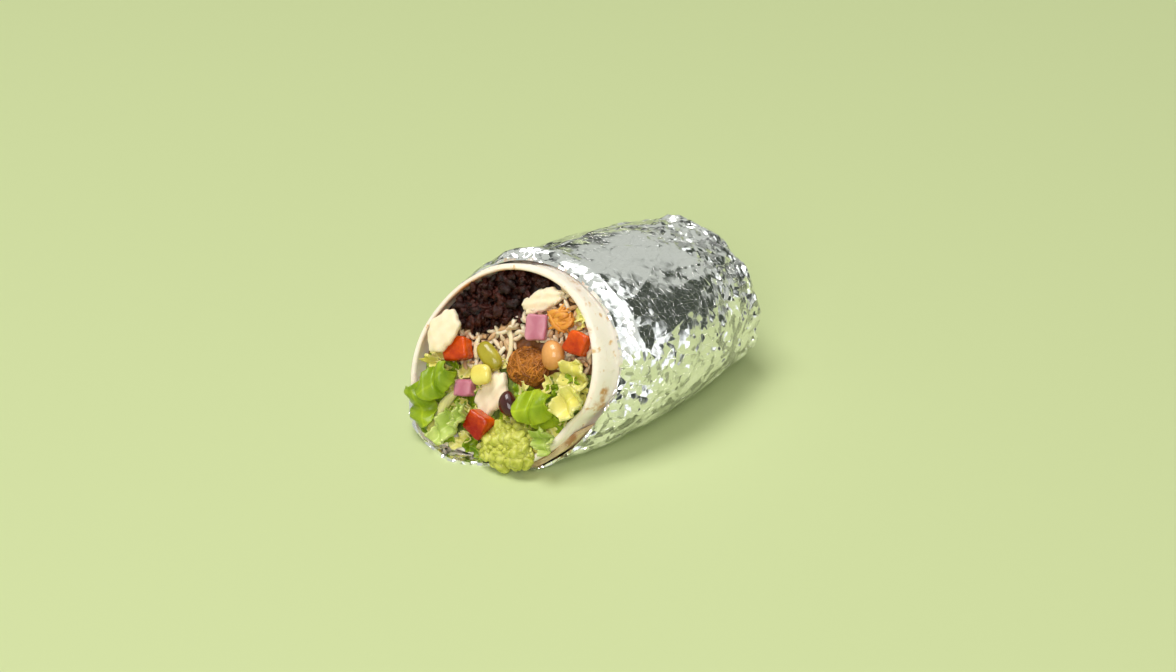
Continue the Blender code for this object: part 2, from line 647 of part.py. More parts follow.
def make_pieces(laid):
    """Every separate piece that shows at the cut, the lowest first."""
    cream = material("cream", (0.90, 0.74, 0.52), 0.35)
    tomato = material("tomato", (0.62, 0.05, 0.015), 0.25)
    onion = material("onion", (0.55, 0.22, 0.30), 0.35)
    cheese = material("cheese", (0.90, 0.80, 0.60), 0.5)
    green = material("leaf", (0.16, 0.36, 0.03), 0.4)
    pale = material("pale_leaf", (0.55, 0.60, 0.18), 0.45)
    pinto = material("pinto", (0.66, 0.32, 0.11), 0.2)
    black = material("black_bean", (0.06, 0.015, 0.012), 0.15)
    pepper = material("pepper", (0.38, 0.40, 0.06), 0.3)
    corn = material("corn", (0.86, 0.72, 0.28), 0.35)

    def put(name, shape, mat, x, z, **turns):
        settle(name, shape, mat, x, z, laid, **turns)

    put("tomato_left", dice((12, 9.5, 7), seed=1), tomato, -22, 36.8, roll=24, tilt=-12)
    put("tomato_right", dice((8.8, 9.6, 6.5), seed=2), tomato, 28.2, 52.0, roll=-8)
    put("tomato_low", dice((9.5, 10, 7), seed=6), tomato, 0.2, 11.5, roll=-18)
    put("onion_top", dice((8.5, 10.5, 6), seed=4, chip=0.6), onion, 8.8, 53, roll=12, turn=14)
    put("onion_left", dice((8, 7, 6), seed=7, chip=0.6), onion, -13, 24.2, roll=10)
    put("cream_left", dollop(12.5, 19, 3.4, seed=3, lobes=0.12), cream, -30.2, 42.0, roll=-14, lift=2)
    put("cream_top", dollop(19.5, 8.5, 3.6, seed=8, lobes=0.25), cream, 7.2, 62.9, roll=36)
    put("cream_middle", dollop(12, 20, 4.5, seed=5), cream, -0.2, 25.3, roll=-8)

    put("pinto_bean", bean(12, 9.8, 8, bend=0.8), pinto, 20.6, 47.0, roll=105)
    put("black_bean", bean(11, 8, 7, bend=1.2), black, 7.8, 23.6, roll=-50, lift=3)
    put("pepper_slice", bean(13.5, 8, 6, blunt=2.6), pepper, -7.4, 38, roll=-34)
    put("corn_kernel", bean(9.2, 8.4, 4.5, blunt=2.8, around=10, along=6), corn, -8.2, 30.8, roll=20)

    for name, x, z, length, roll, sag in (
        ("cheese_shred_1", 2.0, 43.5, 13, -80, 1.6),
        ("cheese_shred_2", -14.8, 38.8, 9, -84, -0.6),
        ("cheese_shred_3", -24.8, 46.0, 9.5, -66, 0.5),
    ):
        put(name, strand(bow(length, sag, rise=0.5), 1.1, taper=0.8), cheese, x, z, roll=roll)

    put("rib_low_left", strand(bow(16, 1.5, rise=0.6), 2.2, around=6), pale, -17.4, 15.0, roll=70, lift=1)
    for name, x, z, length, width, roll, lift in (
        ("chunk_right_upper", 30.6, 40.6, 14, 12, 20, 0),
        ("chunk_right_middle", 32.6, 30.4, 13, 11, -20, 1.5),
        ("chunk_right_lower", 29.2, 15.0, 10, 8, 40, 1.5),
        ("chunk_low_left", -15.5, 9.0, 15, 9.5, -22, 5.5),
        ("chunk_low_middle", -8.6, 15.0, 10, 4.5, -10, 1),
        ("leaf_rib_left", -27.5, 30.0, 11, 4.5, 80, 1.5),
    ):
        crumpled = leaf(length, width, bend=2.5, fold=3, ruffle=1.4, thick=1.6, steps=(7, 5), phase=x)
        put(name, crumpled, pale, x, z, roll=roll, lift=lift)

    put("leaf_middle", leaf(17, 14, bend=1.6, fold=-1.8, ruffle=1.0, phase=1), green, 17.4, 25.2, roll=-70)
    put("leaf_curl", leaf(12, 6.5, bend=2, fold=-2, ruffle=0.6, phase=2), green, 25.2, 22, roll=-60, lift=1)
    upper, lower = leaf(17, 13, bend=1.6, fold=-1.6, ruffle=0.9), leaf(18, 12, bend=2, fold=-2, ruffle=1.0)
    put("leaf_left_upper", upper, green, -27.5, 23, roll=-35, lift=2)
    put("leaf_left_lower", lower, green, -28.0, 14.0, roll=40, lift=5)


# Mounds that lie on a filling and are one with it, and what covers them

MOUNDS = {
    "pulled_meat": {"x": 10.5, "z": 38.5, "size": (18, 15, 4.5), "roll": 20},
    "guacamole": {"x": 13.5, "z": 13.5, "size": (23, 9.5, 8), "roll": 6},
}
SPILL = {"x": 14.0, "z": 7.5, "size": (24, 14, 4.5), "roll": 4}
SPILL_FORWARD = 1.8


def on_mound(local, x, z, roll, depth=RECESS_DEPTH - CLEARANCE):
    """Place points given about the middle of a mound's flat back, at a depth behind the cut."""
    spin = np.array(Matrix.Rotation(radians(roll), 3, "Z"))
    middle = Vector((x, cut_lean(x, z), z)) + SIGHT * (depth / -SIGHT.dot(OUT))
    return local @ spin.T @ np.array(FACE).T + np.array(middle)


def mound(x, z, size, roll):
    """A dome on the filling, and the peg that joins it to the body behind."""
    dome_verts, dome_faces = dome(size)
    peg_verts, peg_faces = bean(6, 7, 7, around=8, along=4)
    upright = peg_verts @ np.array(Matrix.Rotation(pi / 2, 3, "Y")).T
    return [(on_mound(upright, x, z, 0), peg_faces), (on_mound(dome_verts, x, z, roll), dome_faces)]


def spill():
    """The part of the mash that has slid over the rim of the tortilla, in front of it."""
    verts, faces = dome(SPILL["size"])
    return on_mound(verts, SPILL["x"], SPILL["z"], SPILL["roll"], depth=-SPILL_FORWARD), faces


def lumps(x, z, size, roll, count, seed, depth=RECESS_DEPTH - CLEARANCE):
    """Lumps of uneven size over the front of a mound."""
    rng = np.random.default_rng(seed)
    shapes = []
    for number in range(count):
        spot = np.array(dome_spot(number, count))
        lump, faces = crumb(rng, rng.uniform(1.7, 2.7))
        sunk = spot * (size[0] / 2, size[1] / 2, size[2]) * 0.93
        shapes.append((on_mound(lump + sunk, x, z, roll, depth), faces))
    return shapes


def fibres(x, z, size, roll, count, seed):
    """Short fibres wound over a mound along its surface."""
    rng = np.random.default_rng(seed)
    shapes = []
    for number in range(count):
        spot = dome_spot(number, count)
        axis = spot.cross(Vector(rng.normal(size=3))).normalized()
        swing = rng.uniform(0.25, 0.5)
        path = np.array([Matrix.Rotation(t * swing, 3, axis) @ spot for t in np.linspace(-1, 1, 5)])
        path = path * (size[0] / 2, size[1] / 2, size[2])
        if path[:, 2].min() > 1.2:
            fibre, faces = strand(path, rng.uniform(0.85, 1.15))
            shapes.append((on_mound(fibre, x, z, roll), faces))
    return shapes


def sauced_shreds():
    """Orange shreds of sauced filling, strewn over a small lump."""
    rng = np.random.default_rng(31)
    x, z = 18.3, 58.8
    verts, faces = dome((11.5, 8, 4))
    sauce = material("sauced_shreds", (0.72, 0.28, 0.04), 0.35)
    lump = mesh_object("sauced_shreds", lay(verts, x, z), faces, sauce)
    shreds = []
    for number in range(5):
        path = bow(rng.uniform(8, 11), rng.uniform(-1.5, 1.5), rise=1.2, steps=4)
        shred, shred_faces = strand(path + (0, rng.uniform(-2.5, 2.5), rng.uniform(2.2, 3.4)), 1.1)
        spin = np.array(Matrix.Rotation(rng.uniform(0, pi), 3, "Z"))
        shreds.append((on_mound(shred @ spin.T, x, z, 0), shred_faces))
    return lump, shreds


def build():
    """Make every solid, and move the whole to the middle of its footprint, resting on z = 0."""
    fresh_scene()
    laid = [make_foil(), make_tortilla(), make_lap()]
    zones = make_zones()
    laid += zones.values()

    def others(obj):
        return [o for o in laid if o is not obj]

    for name, sizes in MOUNDS.items():
        extra = [spill()] if name == "guacamole" else []
        fuse(zones[name], mound(**sizes) + extra, laid[:3])
    lump, shreds = sauced_shreds()
    laid.append(lump)
    make_pieces(laid)

    fuse(lump, shreds, others(lump))
    covers = {
        "dark_meat": scattered(ZONE_LINES["dark_meat"], 4.4, 11, 2.8, ground_crumb, (0.2, 1.6)),
        "rice": scattered(ZONE_LINES["rice"], 4.6, 12, 3.0, rice_grain, (0.4, 1.6)),
        "pulled_meat": fibres(**MOUNDS["pulled_meat"], count=26, seed=13),
        "guacamole": lumps(**MOUNDS["guacamole"], count=9, seed=14)
        + lumps(**SPILL, count=13, seed=16, depth=-SPILL_FORWARD),
        "lettuce": scattered(ZONE_LINES["lettuce"], 5.8, 15, 3.0, leaf_scrap, (0.2, 1.2)),
    }
    for name, shapes in covers.items():
        solver = "MANIFOLD" if name in MOUNDS else "EXACT"
        fuse(zones[name], shapes, others(zones[name]), solver)

    corners = np.array([obj.matrix_world @ v.co for obj in laid for v in obj.data.vertices])
    low, high = corners.min(0), corners.max(0)
    for obj in laid:
        obj.location = Vector((-(low[0] + high[0]) / 2, -(low[1] + high[1]) / 2, -low[2]))


build()
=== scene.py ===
"""Looks of the foil-wrapped burrito: foil, tortilla, fillings and sauces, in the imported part's frame."""

from math import pi, radians, tan

import bmesh
import bpy
import numpy as np
from mathutils import Euler, Matrix, Vector


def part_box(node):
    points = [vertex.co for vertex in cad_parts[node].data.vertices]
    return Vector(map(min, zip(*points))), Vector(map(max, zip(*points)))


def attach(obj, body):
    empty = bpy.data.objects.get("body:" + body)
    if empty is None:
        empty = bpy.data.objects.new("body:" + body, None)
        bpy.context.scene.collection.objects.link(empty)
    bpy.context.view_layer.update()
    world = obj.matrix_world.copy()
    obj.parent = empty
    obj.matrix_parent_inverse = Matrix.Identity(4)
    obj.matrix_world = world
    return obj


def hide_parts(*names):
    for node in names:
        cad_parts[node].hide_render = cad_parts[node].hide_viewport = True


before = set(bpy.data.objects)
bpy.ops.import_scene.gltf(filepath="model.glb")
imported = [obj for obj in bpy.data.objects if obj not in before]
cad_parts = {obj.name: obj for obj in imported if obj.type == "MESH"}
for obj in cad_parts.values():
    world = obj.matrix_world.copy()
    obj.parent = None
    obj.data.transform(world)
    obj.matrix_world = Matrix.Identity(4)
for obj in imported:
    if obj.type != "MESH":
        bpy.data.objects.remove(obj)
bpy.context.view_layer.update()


# The foil sleeve. A sheet of thin kitchen foil, wound round the rolled burrito, pressed flat below
# and gathered shut at the far end. Its front edge is folded back at the upper right and stands off
# the roll as a loose collar at the upper left.

MM = 0.001
BODY_LENGTH, END_DOME = 109.4, 12.9
STATIONS = (0.0, 0.33, 0.7, 1.0)
HALF_WIDTHS = (40.3, 48.1, 44.8, 38.3)
HALF_HEIGHTS = (40.0, 38.4, 36.3, 32.3)
SIDE_SHIFTS = (0.0, 1.6, 2.6, 0.2)
FLATTENED, BASE_ROUNDING = 0.152, 3.0
CUT_TILT, CUT_YAW = radians(27.2), radians(12.8)
TORTILLA_WAIST, WAIST_START = 2.2, 14.0
FOIL_GAP, FOIL_WALL = 0.6, 1.1
FOIL_AROUND, FOIL_ALONG, FOIL_DOME_ROWS = 420, 150, 36
FOIL_TIP = BODY_LENGTH + 0.97 * END_DOME
GATHERED_RUN, SHARP_CREASE = 34, radians(40)
STREAKS, STREAK_HALF_WIDTH, STREAK_HALF_LENGTH, ROLL_RADIUS = 16, 0.8, 17, 42
FOOTPRINT_SHIFT = np.array((-1.899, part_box("foil")[1].y / MM - FOIL_TIP, 0.0))


def smoothstep(low, high, value):
    """0 below low, 1 above high, with an easy curve between."""
    t = np.clip((np.asarray(value, float) - low) / (high - low), 0, 1)
    return t * t * (3 - 2 * t)


def profile(values, s):
    """The smooth cubic through the four stations' values, at fraction s of the body."""
    return np.polyval(np.polyfit(STATIONS, values, 3), np.clip(s, 0, 1))


def rest_on(floor, z):
    """Heights kept above a floor, with a rounded turn from the flat base into the flank."""
    over = np.clip(z - floor, -BASE_ROUNDING, None)
    return floor + np.where(over < BASE_ROUNDING, (over + BASE_ROUNDING) ** 2 / (4 * BASE_ROUNDING), over)


def waist(behind):
    """How far the tortilla draws in under the foil, at a distance behind the rim."""
    return TORTILLA_WAIST * smoothstep(0, WAIST_START, behind)


def skin(theta, s, inset, floor, dome=END_DOME):
    """Points of a surface round the body: a flattened ellipse at each fraction s, leaned with the cut.

    s is 0 at the cut, 1 where the far end starts to round and 2 at its tip. The lean fades with the
    distance from the cut, and past s = 1 the section closes like a superellipse.
    """
    theta, s, inset = np.broadcast_arrays(theta, np.asarray(s, float), inset)
    round_off = np.clip(s - 1, 0, 1)
    k = np.sqrt(1 - round_off ** 2.6)
    x = (profile(HALF_WIDTHS, s) - inset) * k * np.cos(theta)
    axis = profile(HALF_HEIGHTS, s) * (1 - FLATTENED)
    z = rest_on(floor, (profile(HALF_HEIGHTS, s) - inset) * k * np.sin(theta) + axis)
    lean = np.clip(1 - s, 0, None) ** 1.5
    y = np.clip(s, None, 1) * BODY_LENGTH + lean * ((z - axis) * tan(CUT_TILT) + x * tan(CUT_YAW))
    return np.stack([x + profile(SIDE_SHIFTS, s), y + dome * round_off, z], -1)


def tube(rings):
    """Points and faces of a closed skin over a stack of loops: quads, and a fan over each end.

    The fans' middle points are the two points that follow the grid.
    """
    rows, around = rings.shape[:2]
    row, col = np.meshgrid(np.arange(rows - 1), np.arange(around), indexing="ij")
    a, b = row * around + col, row * around + (col + 1) % around
    quads = np.stack([a, b, b + around, a + around], -1).reshape(-1, 4)
    j = np.arange(around)
    k, last = (j + 1) % around, (rows - 1) * around
    first_fan = np.stack([k, j, 0 * j + rows * around], -1)
    last_fan = np.stack([last + j, last + k, 0 * j + rows * around + 1], -1)
    middles = np.stack([rings[0].mean(0), rings[-1].mean(0)])
    return np.concatenate([rings.reshape(-1, 3), middles]), [quads, np.concatenate([first_fan, last_fan])]


def new_piece(name, material, slot, nodes, verts, faces, tones=None):
    """A mesh from points in millimetres about the foot of the cut and arrays of faces.

    It rides on the body, takes the place of the named solids and gets its normals turned outward.
    tones holds one number for each point, which the material reads.
    """
    mesh = bpy.data.meshes.new(name)
    points = (np.asarray(verts, float) + FOOTPRINT_SHIFT) * MM
    loops = np.concatenate([f.ravel() for f in faces])
    sizes = np.concatenate([np.full(len(f), f.shape[1]) for f in faces])
    mesh.vertices.add(len(points))
    mesh.vertices.foreach_set("co", points.ravel())
    mesh.loops.add(len(loops))
    mesh.loops.foreach_set("vertex_index", loops)
    mesh.polygons.add(len(sizes))
    mesh.polygons.foreach_set("loop_start", np.concatenate([[0], np.cumsum(sizes)[:-1]]))
    mesh.polygons.foreach_set("use_smooth", np.full(len(sizes), True))
    mesh.update(calc_edges=True)
    mesh.validate()
    bm = bmesh.new()
    bm.from_mesh(mesh)
    bmesh.ops.recalc_face_normals(bm, faces=bm.faces)
    bm.to_mesh(mesh)
    bm.free()
    if tones is not None:
        layer = mesh.attributes.new("tone", "FLOAT", "POINT")
        layer.data.foreach_set("value", np.asarray(tones, np.float32).ravel())
    mesh.materials.append(material)
    obj = bpy.data.objects.new(name, mesh)
    bpy.context.scene.collection.objects.link(obj)
    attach(obj, "root")
    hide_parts(*nodes)
    return obj


def foil_edge(theta):
    """How far the sleeve's front edge stops behind the cut: furthest at the upper right."""
    left = 6 * np.exp(-(((theta - radians(166)) / radians(38)) ** 2))
    under = 5 * np.exp(-(((theta - radians(264)) / radians(28)) ** 2))
    waves = 0.8 * np.sin(5 * theta) + 0.5 * np.sin(9 * theta + 1)
    return 6 + 6 * np.cos(theta - radians(40)) + left - under + waves


def foil_flare(theta, behind):
    """The loose collar at the upper left: it bulges off the tortilla just behind the front edge."""
    side = np.exp(-(((theta - radians(110)) / radians(23)) ** 2))
    rise = behind - foil_edge(theta)
    return 3.0 * side * smoothstep(-3, 6, rise) * smoothstep(18, 7, rise)


def facets(turn, along, around, pitch, seed):
    """Folded-sheet relief, -1 to 1: random heights on a net of triangles with flat facets between.

    turn is the share of the way round, with around net corners in a full turn; pitch is the net's
    step along the roll. The net is bent by slow waves so that its folds don't line up.
    """
    heights = np.random.default_rng(seed).uniform(-1, 1, (64, around))
    u = turn * around + 0.45 * np.sin(along / pitch * 1.3 + seed) + 0.35 * np.sin(2 * pi * 3 * turn + seed)
    w = along / pitch + 0.5 * np.sin(2 * pi * 5 * turn + 1.7 * seed)
    w = w + 0.4 * np.sin(2 * pi * 8 * turn + seed)
    i, j = np.floor(u).astype(int), np.floor(w).astype(int)
    fu, fw = u - i, w - j

    def corner(a, b):
        return heights[(j + b) % 64, (i + a) % around]

    low, high = np.minimum(fu, fw), np.maximum(fu, fw)
    middle = np.where(fu > fw, corner(1, 0), corner(0, 1))
    return corner(0, 0) * (1 - high) + middle * (high - low) + corner(1, 1) * low


def on_hem(theta, along):
    """1 on the strip of the front edge that is folded back over the sleeve, at the upper right."""
    behind_edge = along - foil_edge(theta)
    strip = smoothstep(0.02, 0.15, theta) * smoothstep(1.5, 1.3, theta)
    return strip * smoothstep(9.0, 8.4, behind_edge)


def lower_flank(theta):
    """1 on the lower right flank, which is creased all over; 0 above it and underneath."""
    turn = (theta + pi) % (2 * pi) - pi
    return smoothstep(-2.1, -1.2, turn) * smoothstep(0.6, 0.2, turn)


def looseness(theta, along):
    """How crumpled the sheet is: most at the gathered end and behind the front edge, least on top."""
    behind_edge = along - foil_edge(theta)
    far = smoothstep(62, 104, along)
    smooth_top = smoothstep(0, 0.3, theta) * smoothstep(1.7, 1.3, theta)
    near = smoothstep(30, 10, behind_edge) * (1 - 0.75 * smooth_top)
    front = smoothstep(8, 2, behind_edge) * 0.5
    crumpled = 0.22 + 1.1 * far + 0.65 * near + front + 0.55 * lower_flank(theta)
    return crumpled * (1 - 0.15 * on_hem(theta, along))


def foil_relief(theta, along, z):
    """Height of the crumples: the roll's broad creases, facets of six sizes, streaks and the hem."""
    turn = theta / (2 * pi)
    broad = (
        np.abs(np.sin(along / 8 + 1.7 * np.sin(theta * 3)))
        + np.abs(np.sin(theta * 6 + 0.1 * along + 0.6))
        + np.abs(np.sin(theta * 3 - 1.3 * along / 8))
    ) / 3
    behind_edge = along - foil_edge(theta)
    loose = looseness(theta, along)
    folds = 0.34 * facets(turn, along, 13, 23, 3) + 0.22 * facets(turn, along, 26, 12, 5) + loose * (
        0.34 * facets(turn, along, 31, 9.5, 6)
        + 0.42 * facets(turn, along, 57, 5.2, 8)
        + 0.20 * facets(turn, along, 105, 2.8, 9)
    )
    folds += (0.04 + 0.24 * lower_flank(theta)) * facets(turn, along, 18, 3.0, 11)
    creases = 0
    rng = np.random.default_rng(12)
    for _ in range(STREAKS):
        start, slope = rng.uniform(0.5, 2.4), rng.normal(0, 0.006)
        swing, middle = rng.uniform(0.02, 0.08), rng.uniform(25, 95)
        line = start + slope * (along - middle) + swing * np.sin(along / rng.uniform(5, 11))
        across = np.exp(-(((theta - line) * ROLL_RADIUS / STREAK_HALF_WIDTH) ** 2))
        creases = creases + across * np.exp(-(((along - middle) / STREAK_HALF_LENGTH) ** 2))
    hem = on_hem(theta, along)
    relief = 0.8 * broad + 1.15 * folds + 0.5 + 0.4 * creases
    relief = relief * (1 - 0.35 * hem) + hem * (0.2 + 0.17 * np.clip(behind_edge, 0, 9))
    return np.clip(relief, 0.05, 3.0) * smoothstep(0.3, 7, z)


theta = np.linspace(0, 2 * pi, FOIL_AROUND, endpoint=False)[None, :]
edge = foil_edge(theta)
share = np.linspace(0, 1, FOIL_ALONG)[:, None]
behind = edge + (BODY_LENGTH - edge) * share
bare_inset = waist(behind) - FOIL_GAP - foil_flare(theta, behind)
bare = skin(theta, behind / BODY_LENGTH, bare_inset, 0)
lift = FOIL_WALL * (0.25 + 0.75 * smoothstep(0, 0.1, share)) + foil_relief(theta, behind, bare[..., 2])
outer = skin(theta, behind / BODY_LENGTH, bare_inset - lift, 0)

dome_share = np.linspace(0, 0.985, FOIL_DOME_ROWS + 1)[1:, None]
far_along = BODY_LENGTH + GATHERED_RUN * dome_share
far_inset = TORTILLA_WAIST - FOIL_GAP
far_z = skin(theta, 1 + dome_share, far_inset, 0)[..., 2]
pleats = 1.6 * np.abs(np.sin(5.5 * theta + 2.5 * dome_share)) * smoothstep(0, 0.4, dome_share)
far_relief = foil_relief(theta, far_along, far_z) + pleats * smoothstep(0.5, 8, far_z)
far_relief = far_relief * smoothstep(1.25, 0.5, dome_share)
far_end = skin(theta, 1 + dome_share, far_inset - FOIL_WALL - far_relief, 0)

inner_behind = edge + (BODY_LENGTH - edge) * np.linspace(0, 1, 12)[:, None] ** 1.5
inner_inset = waist(inner_behind) - FOIL_GAP - foil_flare(theta, inner_behind)
inner = skin(theta, inner_behind / BODY_LENGTH, inner_inset, FOIL_WALL)
inner_turns = 1 + np.array([[0.5], [0.8], [0.97]])
inner_end = skin(theta, inner_turns, far_inset, FOIL_WALL, dome=END_DOME - 1.2)


def add_node(tree, kind, inputs=None, **settings):
    """A shader node; each input takes a value or another node's output. Returns its outputs."""
    node = tree.nodes.new("ShaderNode" + kind)
    for name, value in settings.items():
        setattr(node, name, value)
    for label, value in (inputs or {}).items():
        if isinstance(value, bpy.types.NodeSocket):
            tree.links.new(value, node.inputs[label])
        else:
            node.inputs[label].default_value = value
    return node.outputs


def shader_group(name, inputs, outputs):
    """An empty node group with named sockets; returns it with what it is given and its results."""
    group = bpy.data.node_groups.new(name, "ShaderNodeTree")
    for label, kind, value in inputs:
        socket = group.interface.new_socket(label, in_out="INPUT", socket_type="NodeSocket" + kind)
        if value is not None:
            socket.default_value = value
    for label, kind in outputs:
        group.interface.new_socket(label, in_out="OUTPUT", socket_type="NodeSocket" + kind)
    return group, group.nodes.new("NodeGroupInput").outputs, group.nodes.new("NodeGroupOutput").inputs


def new_material(name, colour, roughness, soft=None, **sockets):
    """A material with the constant values of its shader; also returns its tree and shader inputs.

    soft is the share of the light that goes under the surface and its reach in metres by colour.
    """
    mat = bpy.data.materials.new(name)
    mat.use_nodes = True
    shader = mat.node_tree.nodes["Principled BSDF"].inputs
    shader["Base Color"].default_value = (*colour, 1)
    shader["Roughness"].default_value = roughness
    if soft:
        shader["Subsurface Weight"].default_value, shader["Subsurface Radius"].default_value = soft
        shader["Subsurface Scale"].default_value = 1.0
    for label, value in sockets.items():
        shader[label.replace("_", " ")].default_value = value
    return mat, mat.node_tree, shader


def make_crinkle():
    """Shader group: flat facets, each tilted its own way, with creases between: a height.

    Every cell of a bent cell pattern gets a random tilt; the height is the distance from the
    cell's middle along that tilt.
    """
    group, given, result = shader_group(
        "crinkle", [("Vector", "Vector", None), ("Scale", "Float", 150.0)], [("Height", "Float")]
    )
    warp = add_node(group, "TexNoise", {"Vector": given["Vector"], "Scale": 60, "Detail": 2})["Color"]
    bending = {0: warp, 1: (0.008, 0.008, 0.008), 2: given["Vector"]}
    bent = add_node(group, "VectorMath", bending, operation="MULTIPLY_ADD")[0]
    cells = add_node(group, "TexVoronoi", {"Vector": bent, "Scale": given["Scale"]})
    offset = add_node(group, "VectorMath", {0: bent, 1: cells["Position"]}, operation="SUBTRACT")[0]
    tilt = add_node(group, "VectorMath", {0: cells["Color"], 1: (0.5, 0.5, 0.5)}, operation="SUBTRACT")[0]
    height = add_node(group, "VectorMath", {0: offset, 1: tilt}, operation="DOT_PRODUCT")["Value"]
    group.links.new(height, result["Height"])
    return group


foil_finish, tree, shader = new_material("foil_finish", (0.94, 0.935, 0.94), 0.18, Metallic=1.0)
coords = add_node(tree, "TexCoord")["Object"]
crinkle = make_crinkle()
looser = add_node(tree, "Attribute", attribute_name="tone")["Fac"]
creased = {}
for scale, strength in ((150, 0.6), (400, 0.55)):
    net = add_node(tree, "Group", {"Scale": scale, "Vector": coords}, node_tree=crinkle)["Height"]
    scaled = add_node(tree, "Math", {0: net, 1: looser}, operation="MULTIPLY")["Value"]
    bump = add_node(tree, "Bump", {"Strength": strength, "Distance": 1.0, "Height": scaled, **creased})
    creased = {"Normal": bump["Normal"]}
tree.links.new(creased["Normal"], shader["Normal"])

inner_tones = np.ones(inner_end[..., 0].size + inner[..., 0].size)
outer_tones = np.concatenate([looseness(theta, behind), looseness(theta, far_along)]).ravel()
tones = np.concatenate([inner_tones, outer_tones, [1, 1]])
shell = tube(np.concatenate([inner_end, inner[::-1], outer, far_end]))
foil = new_piece("foil_sleeve", foil_finish, "foil", ["foil"], *shell, tones)
foil.data.set_sharp_from_angle(angle=SHARP_CREASE)


# The tortilla. A soft wheat tortilla rolled into a thick cup round the filling; its cut rim is
# uneven and shows at the opening, pale with a few toasted spots.

TORTILLA_WALL, LAP_STEP, CLEARANCE = 2.3, 2.5, 0.35
LAP_FROM, LAP_TO, LAP_RAMP = -68.0, -18.0, 14.0
LIP_START, CUP_END, SPOT_RELIEF = 0.65, 109, 0.12


def lap_share(theta):
    """1 where the tortilla lies double, 0 elsewhere, with soft flanks."""
    deg = np.degrees((theta + pi) % (2 * pi) - pi)
    rise = smoothstep(LAP_FROM - LAP_RAMP, LAP_FROM, deg)
    return rise * (1 - smoothstep(LAP_TO, LAP_TO + LAP_RAMP, deg))


def rim_wave(theta, behind):
    """Uneven edge of the cut sheet, fading out behind the rim."""
    return (0.7 * np.sin(3 * theta + 1) + 0.4 * np.sin(5 * theta + 2.2)) * smoothstep(8, 0, behind)


theta = np.linspace(0, 2 * pi, 260, endpoint=False)[None, :]
base = FOIL_WALL + CLEARANCE
step = LAP_STEP * lap_share(theta)
lip_turn = np.linspace(0, pi, 9)[1:-1, None]
out_behind = np.concatenate([np.linspace(LIP_START, 30, 46), np.linspace(30, CUP_END, 28)[1:]])[:, None]
in_behind = np.concatenate([np.linspace(CUP_END, 24, 10), np.linspace(24, LIP_START, 18)[1:]])[:, None]
behind = np.concatenate([in_behind, LIP_START - TORTILLA_WALL / 2 * np.sin(lip_turn), out_behind])
lip_depth = TORTILLA_WALL / 2 * (1 + np.cos(lip_turn))
depth = np.concatenate([0 * in_behind + TORTILLA_WALL, lip_depth, 0 * out_behind])
dimples = 0.16 * np.sin(7 * theta + behind / 5) * np.sin(3 * theta - behind / 4 + 1)
dimples = dimples + 0.1 * np.sin(13 * theta + behind / 2.3)
inset = waist(behind) + step + depth - dimples * (depth < 0.1)
rings = skin(theta, behind / BODY_LENGTH, inset, base + step + depth)
rings[..., 1] += rim_wave(theta, behind)
end_turns, end_inset, end_floor = 1 + np.array([[0.6], [0.95]]), TORTILLA_WAIST + step, base + step
back_outer = skin(theta, end_turns, end_inset, end_floor, END_DOME - 3.2)
end_inset, end_floor = end_inset + TORTILLA_WALL, end_floor + TORTILLA_WALL
back_inner = skin(theta, end_turns[::-1], end_inset, end_floor, END_DOME - 5.5)


def make_layer():
    """Shader group: one colour laid over another where a noise passes a threshold."""
    group, given, result = shader_group(
        "spots",
        [("Vector", "Vector", None), ("Under", "Color", (1, 1, 1, 1)), ("Over", "Color", (0, 0, 0, 1)),
         ("Scale", "Float", 100.0), ("From", "Float", 0.5), ("To", "Float", 0.6)],
        [("Color", "Color"), ("Mask", "Float")],
    )
    grain = {"Vector": given["Vector"], "Scale": given["Scale"], "Detail": 4}
    noise = add_node(group, "TexNoise", grain)["Fac"]
    limits = {"Value": noise, "From Min": given["From"], "From Max": given["To"]}
    mask = add_node(group, "MapRange", limits, interpolation_type="SMOOTHSTEP")["Result"]
    colours = {"Factor": mask, "A": given["Under"], "B": given["Over"]}
    group.links.new(add_node(group, "Mix", colours, data_type="RGBA")["Result"], result["Color"])
    group.links.new(mask, result["Mask"])
    return group


spots = make_layer()


def speckled(name, colour, roughness, layers, **sockets):
    """A surface of one colour under layers of soft or fine spots: (scale, from, to, colour) each."""
    mat, tree, shader = new_material(name, colour, roughness, **sockets)
    coords, below = add_node(tree, "TexCoord")["Object"], (*colour, 1)
    for scale, start, full, over in layers:
        values = {"Vector": coords, "Scale": scale, "From": start, "To": full}
        values.update({"Over": (*over, 1), "Under": below})
        layer = add_node(tree, "Group", values, node_tree=spots)
        below = layer["Color"]
    tree.links.new(below, shader["Base Color"])
    bump = add_node(tree, "Bump", {"Distance": SPOT_RELIEF * MM, "Height": layer["Mask"]})
    tree.links.new(bump["Normal"], shader["Normal"])
    return mat


tortilla_finish = speckled(
    "tortilla_finish", (1.0, 0.90, 0.81), 0.5,
    [(75, 0.60, 0.70, (0.62, 0.32, 0.12)), (240, 0.62, 0.72, (0.76, 0.50, 0.25)),
     (500, 0.5, 0.75, (0.98, 0.88, 0.77))],
    soft=(0.2, (0.004, 0.0025, 0.0015)),
)
stained = tortilla_finish.node_tree
stain = add_node(stained, "Attribute", attribute_name="tone")["Fac"]
clean = stained.nodes["Principled BSDF"].inputs["Base Color"]
soaked = {"Factor": stain, "A": clean.links[0].from_socket, "B": (0.66, 0.27, 0.07, 1)}
stained.links.new(add_node(stained, "Mix", soaked, data_type="RGBA")["Result"], clean)

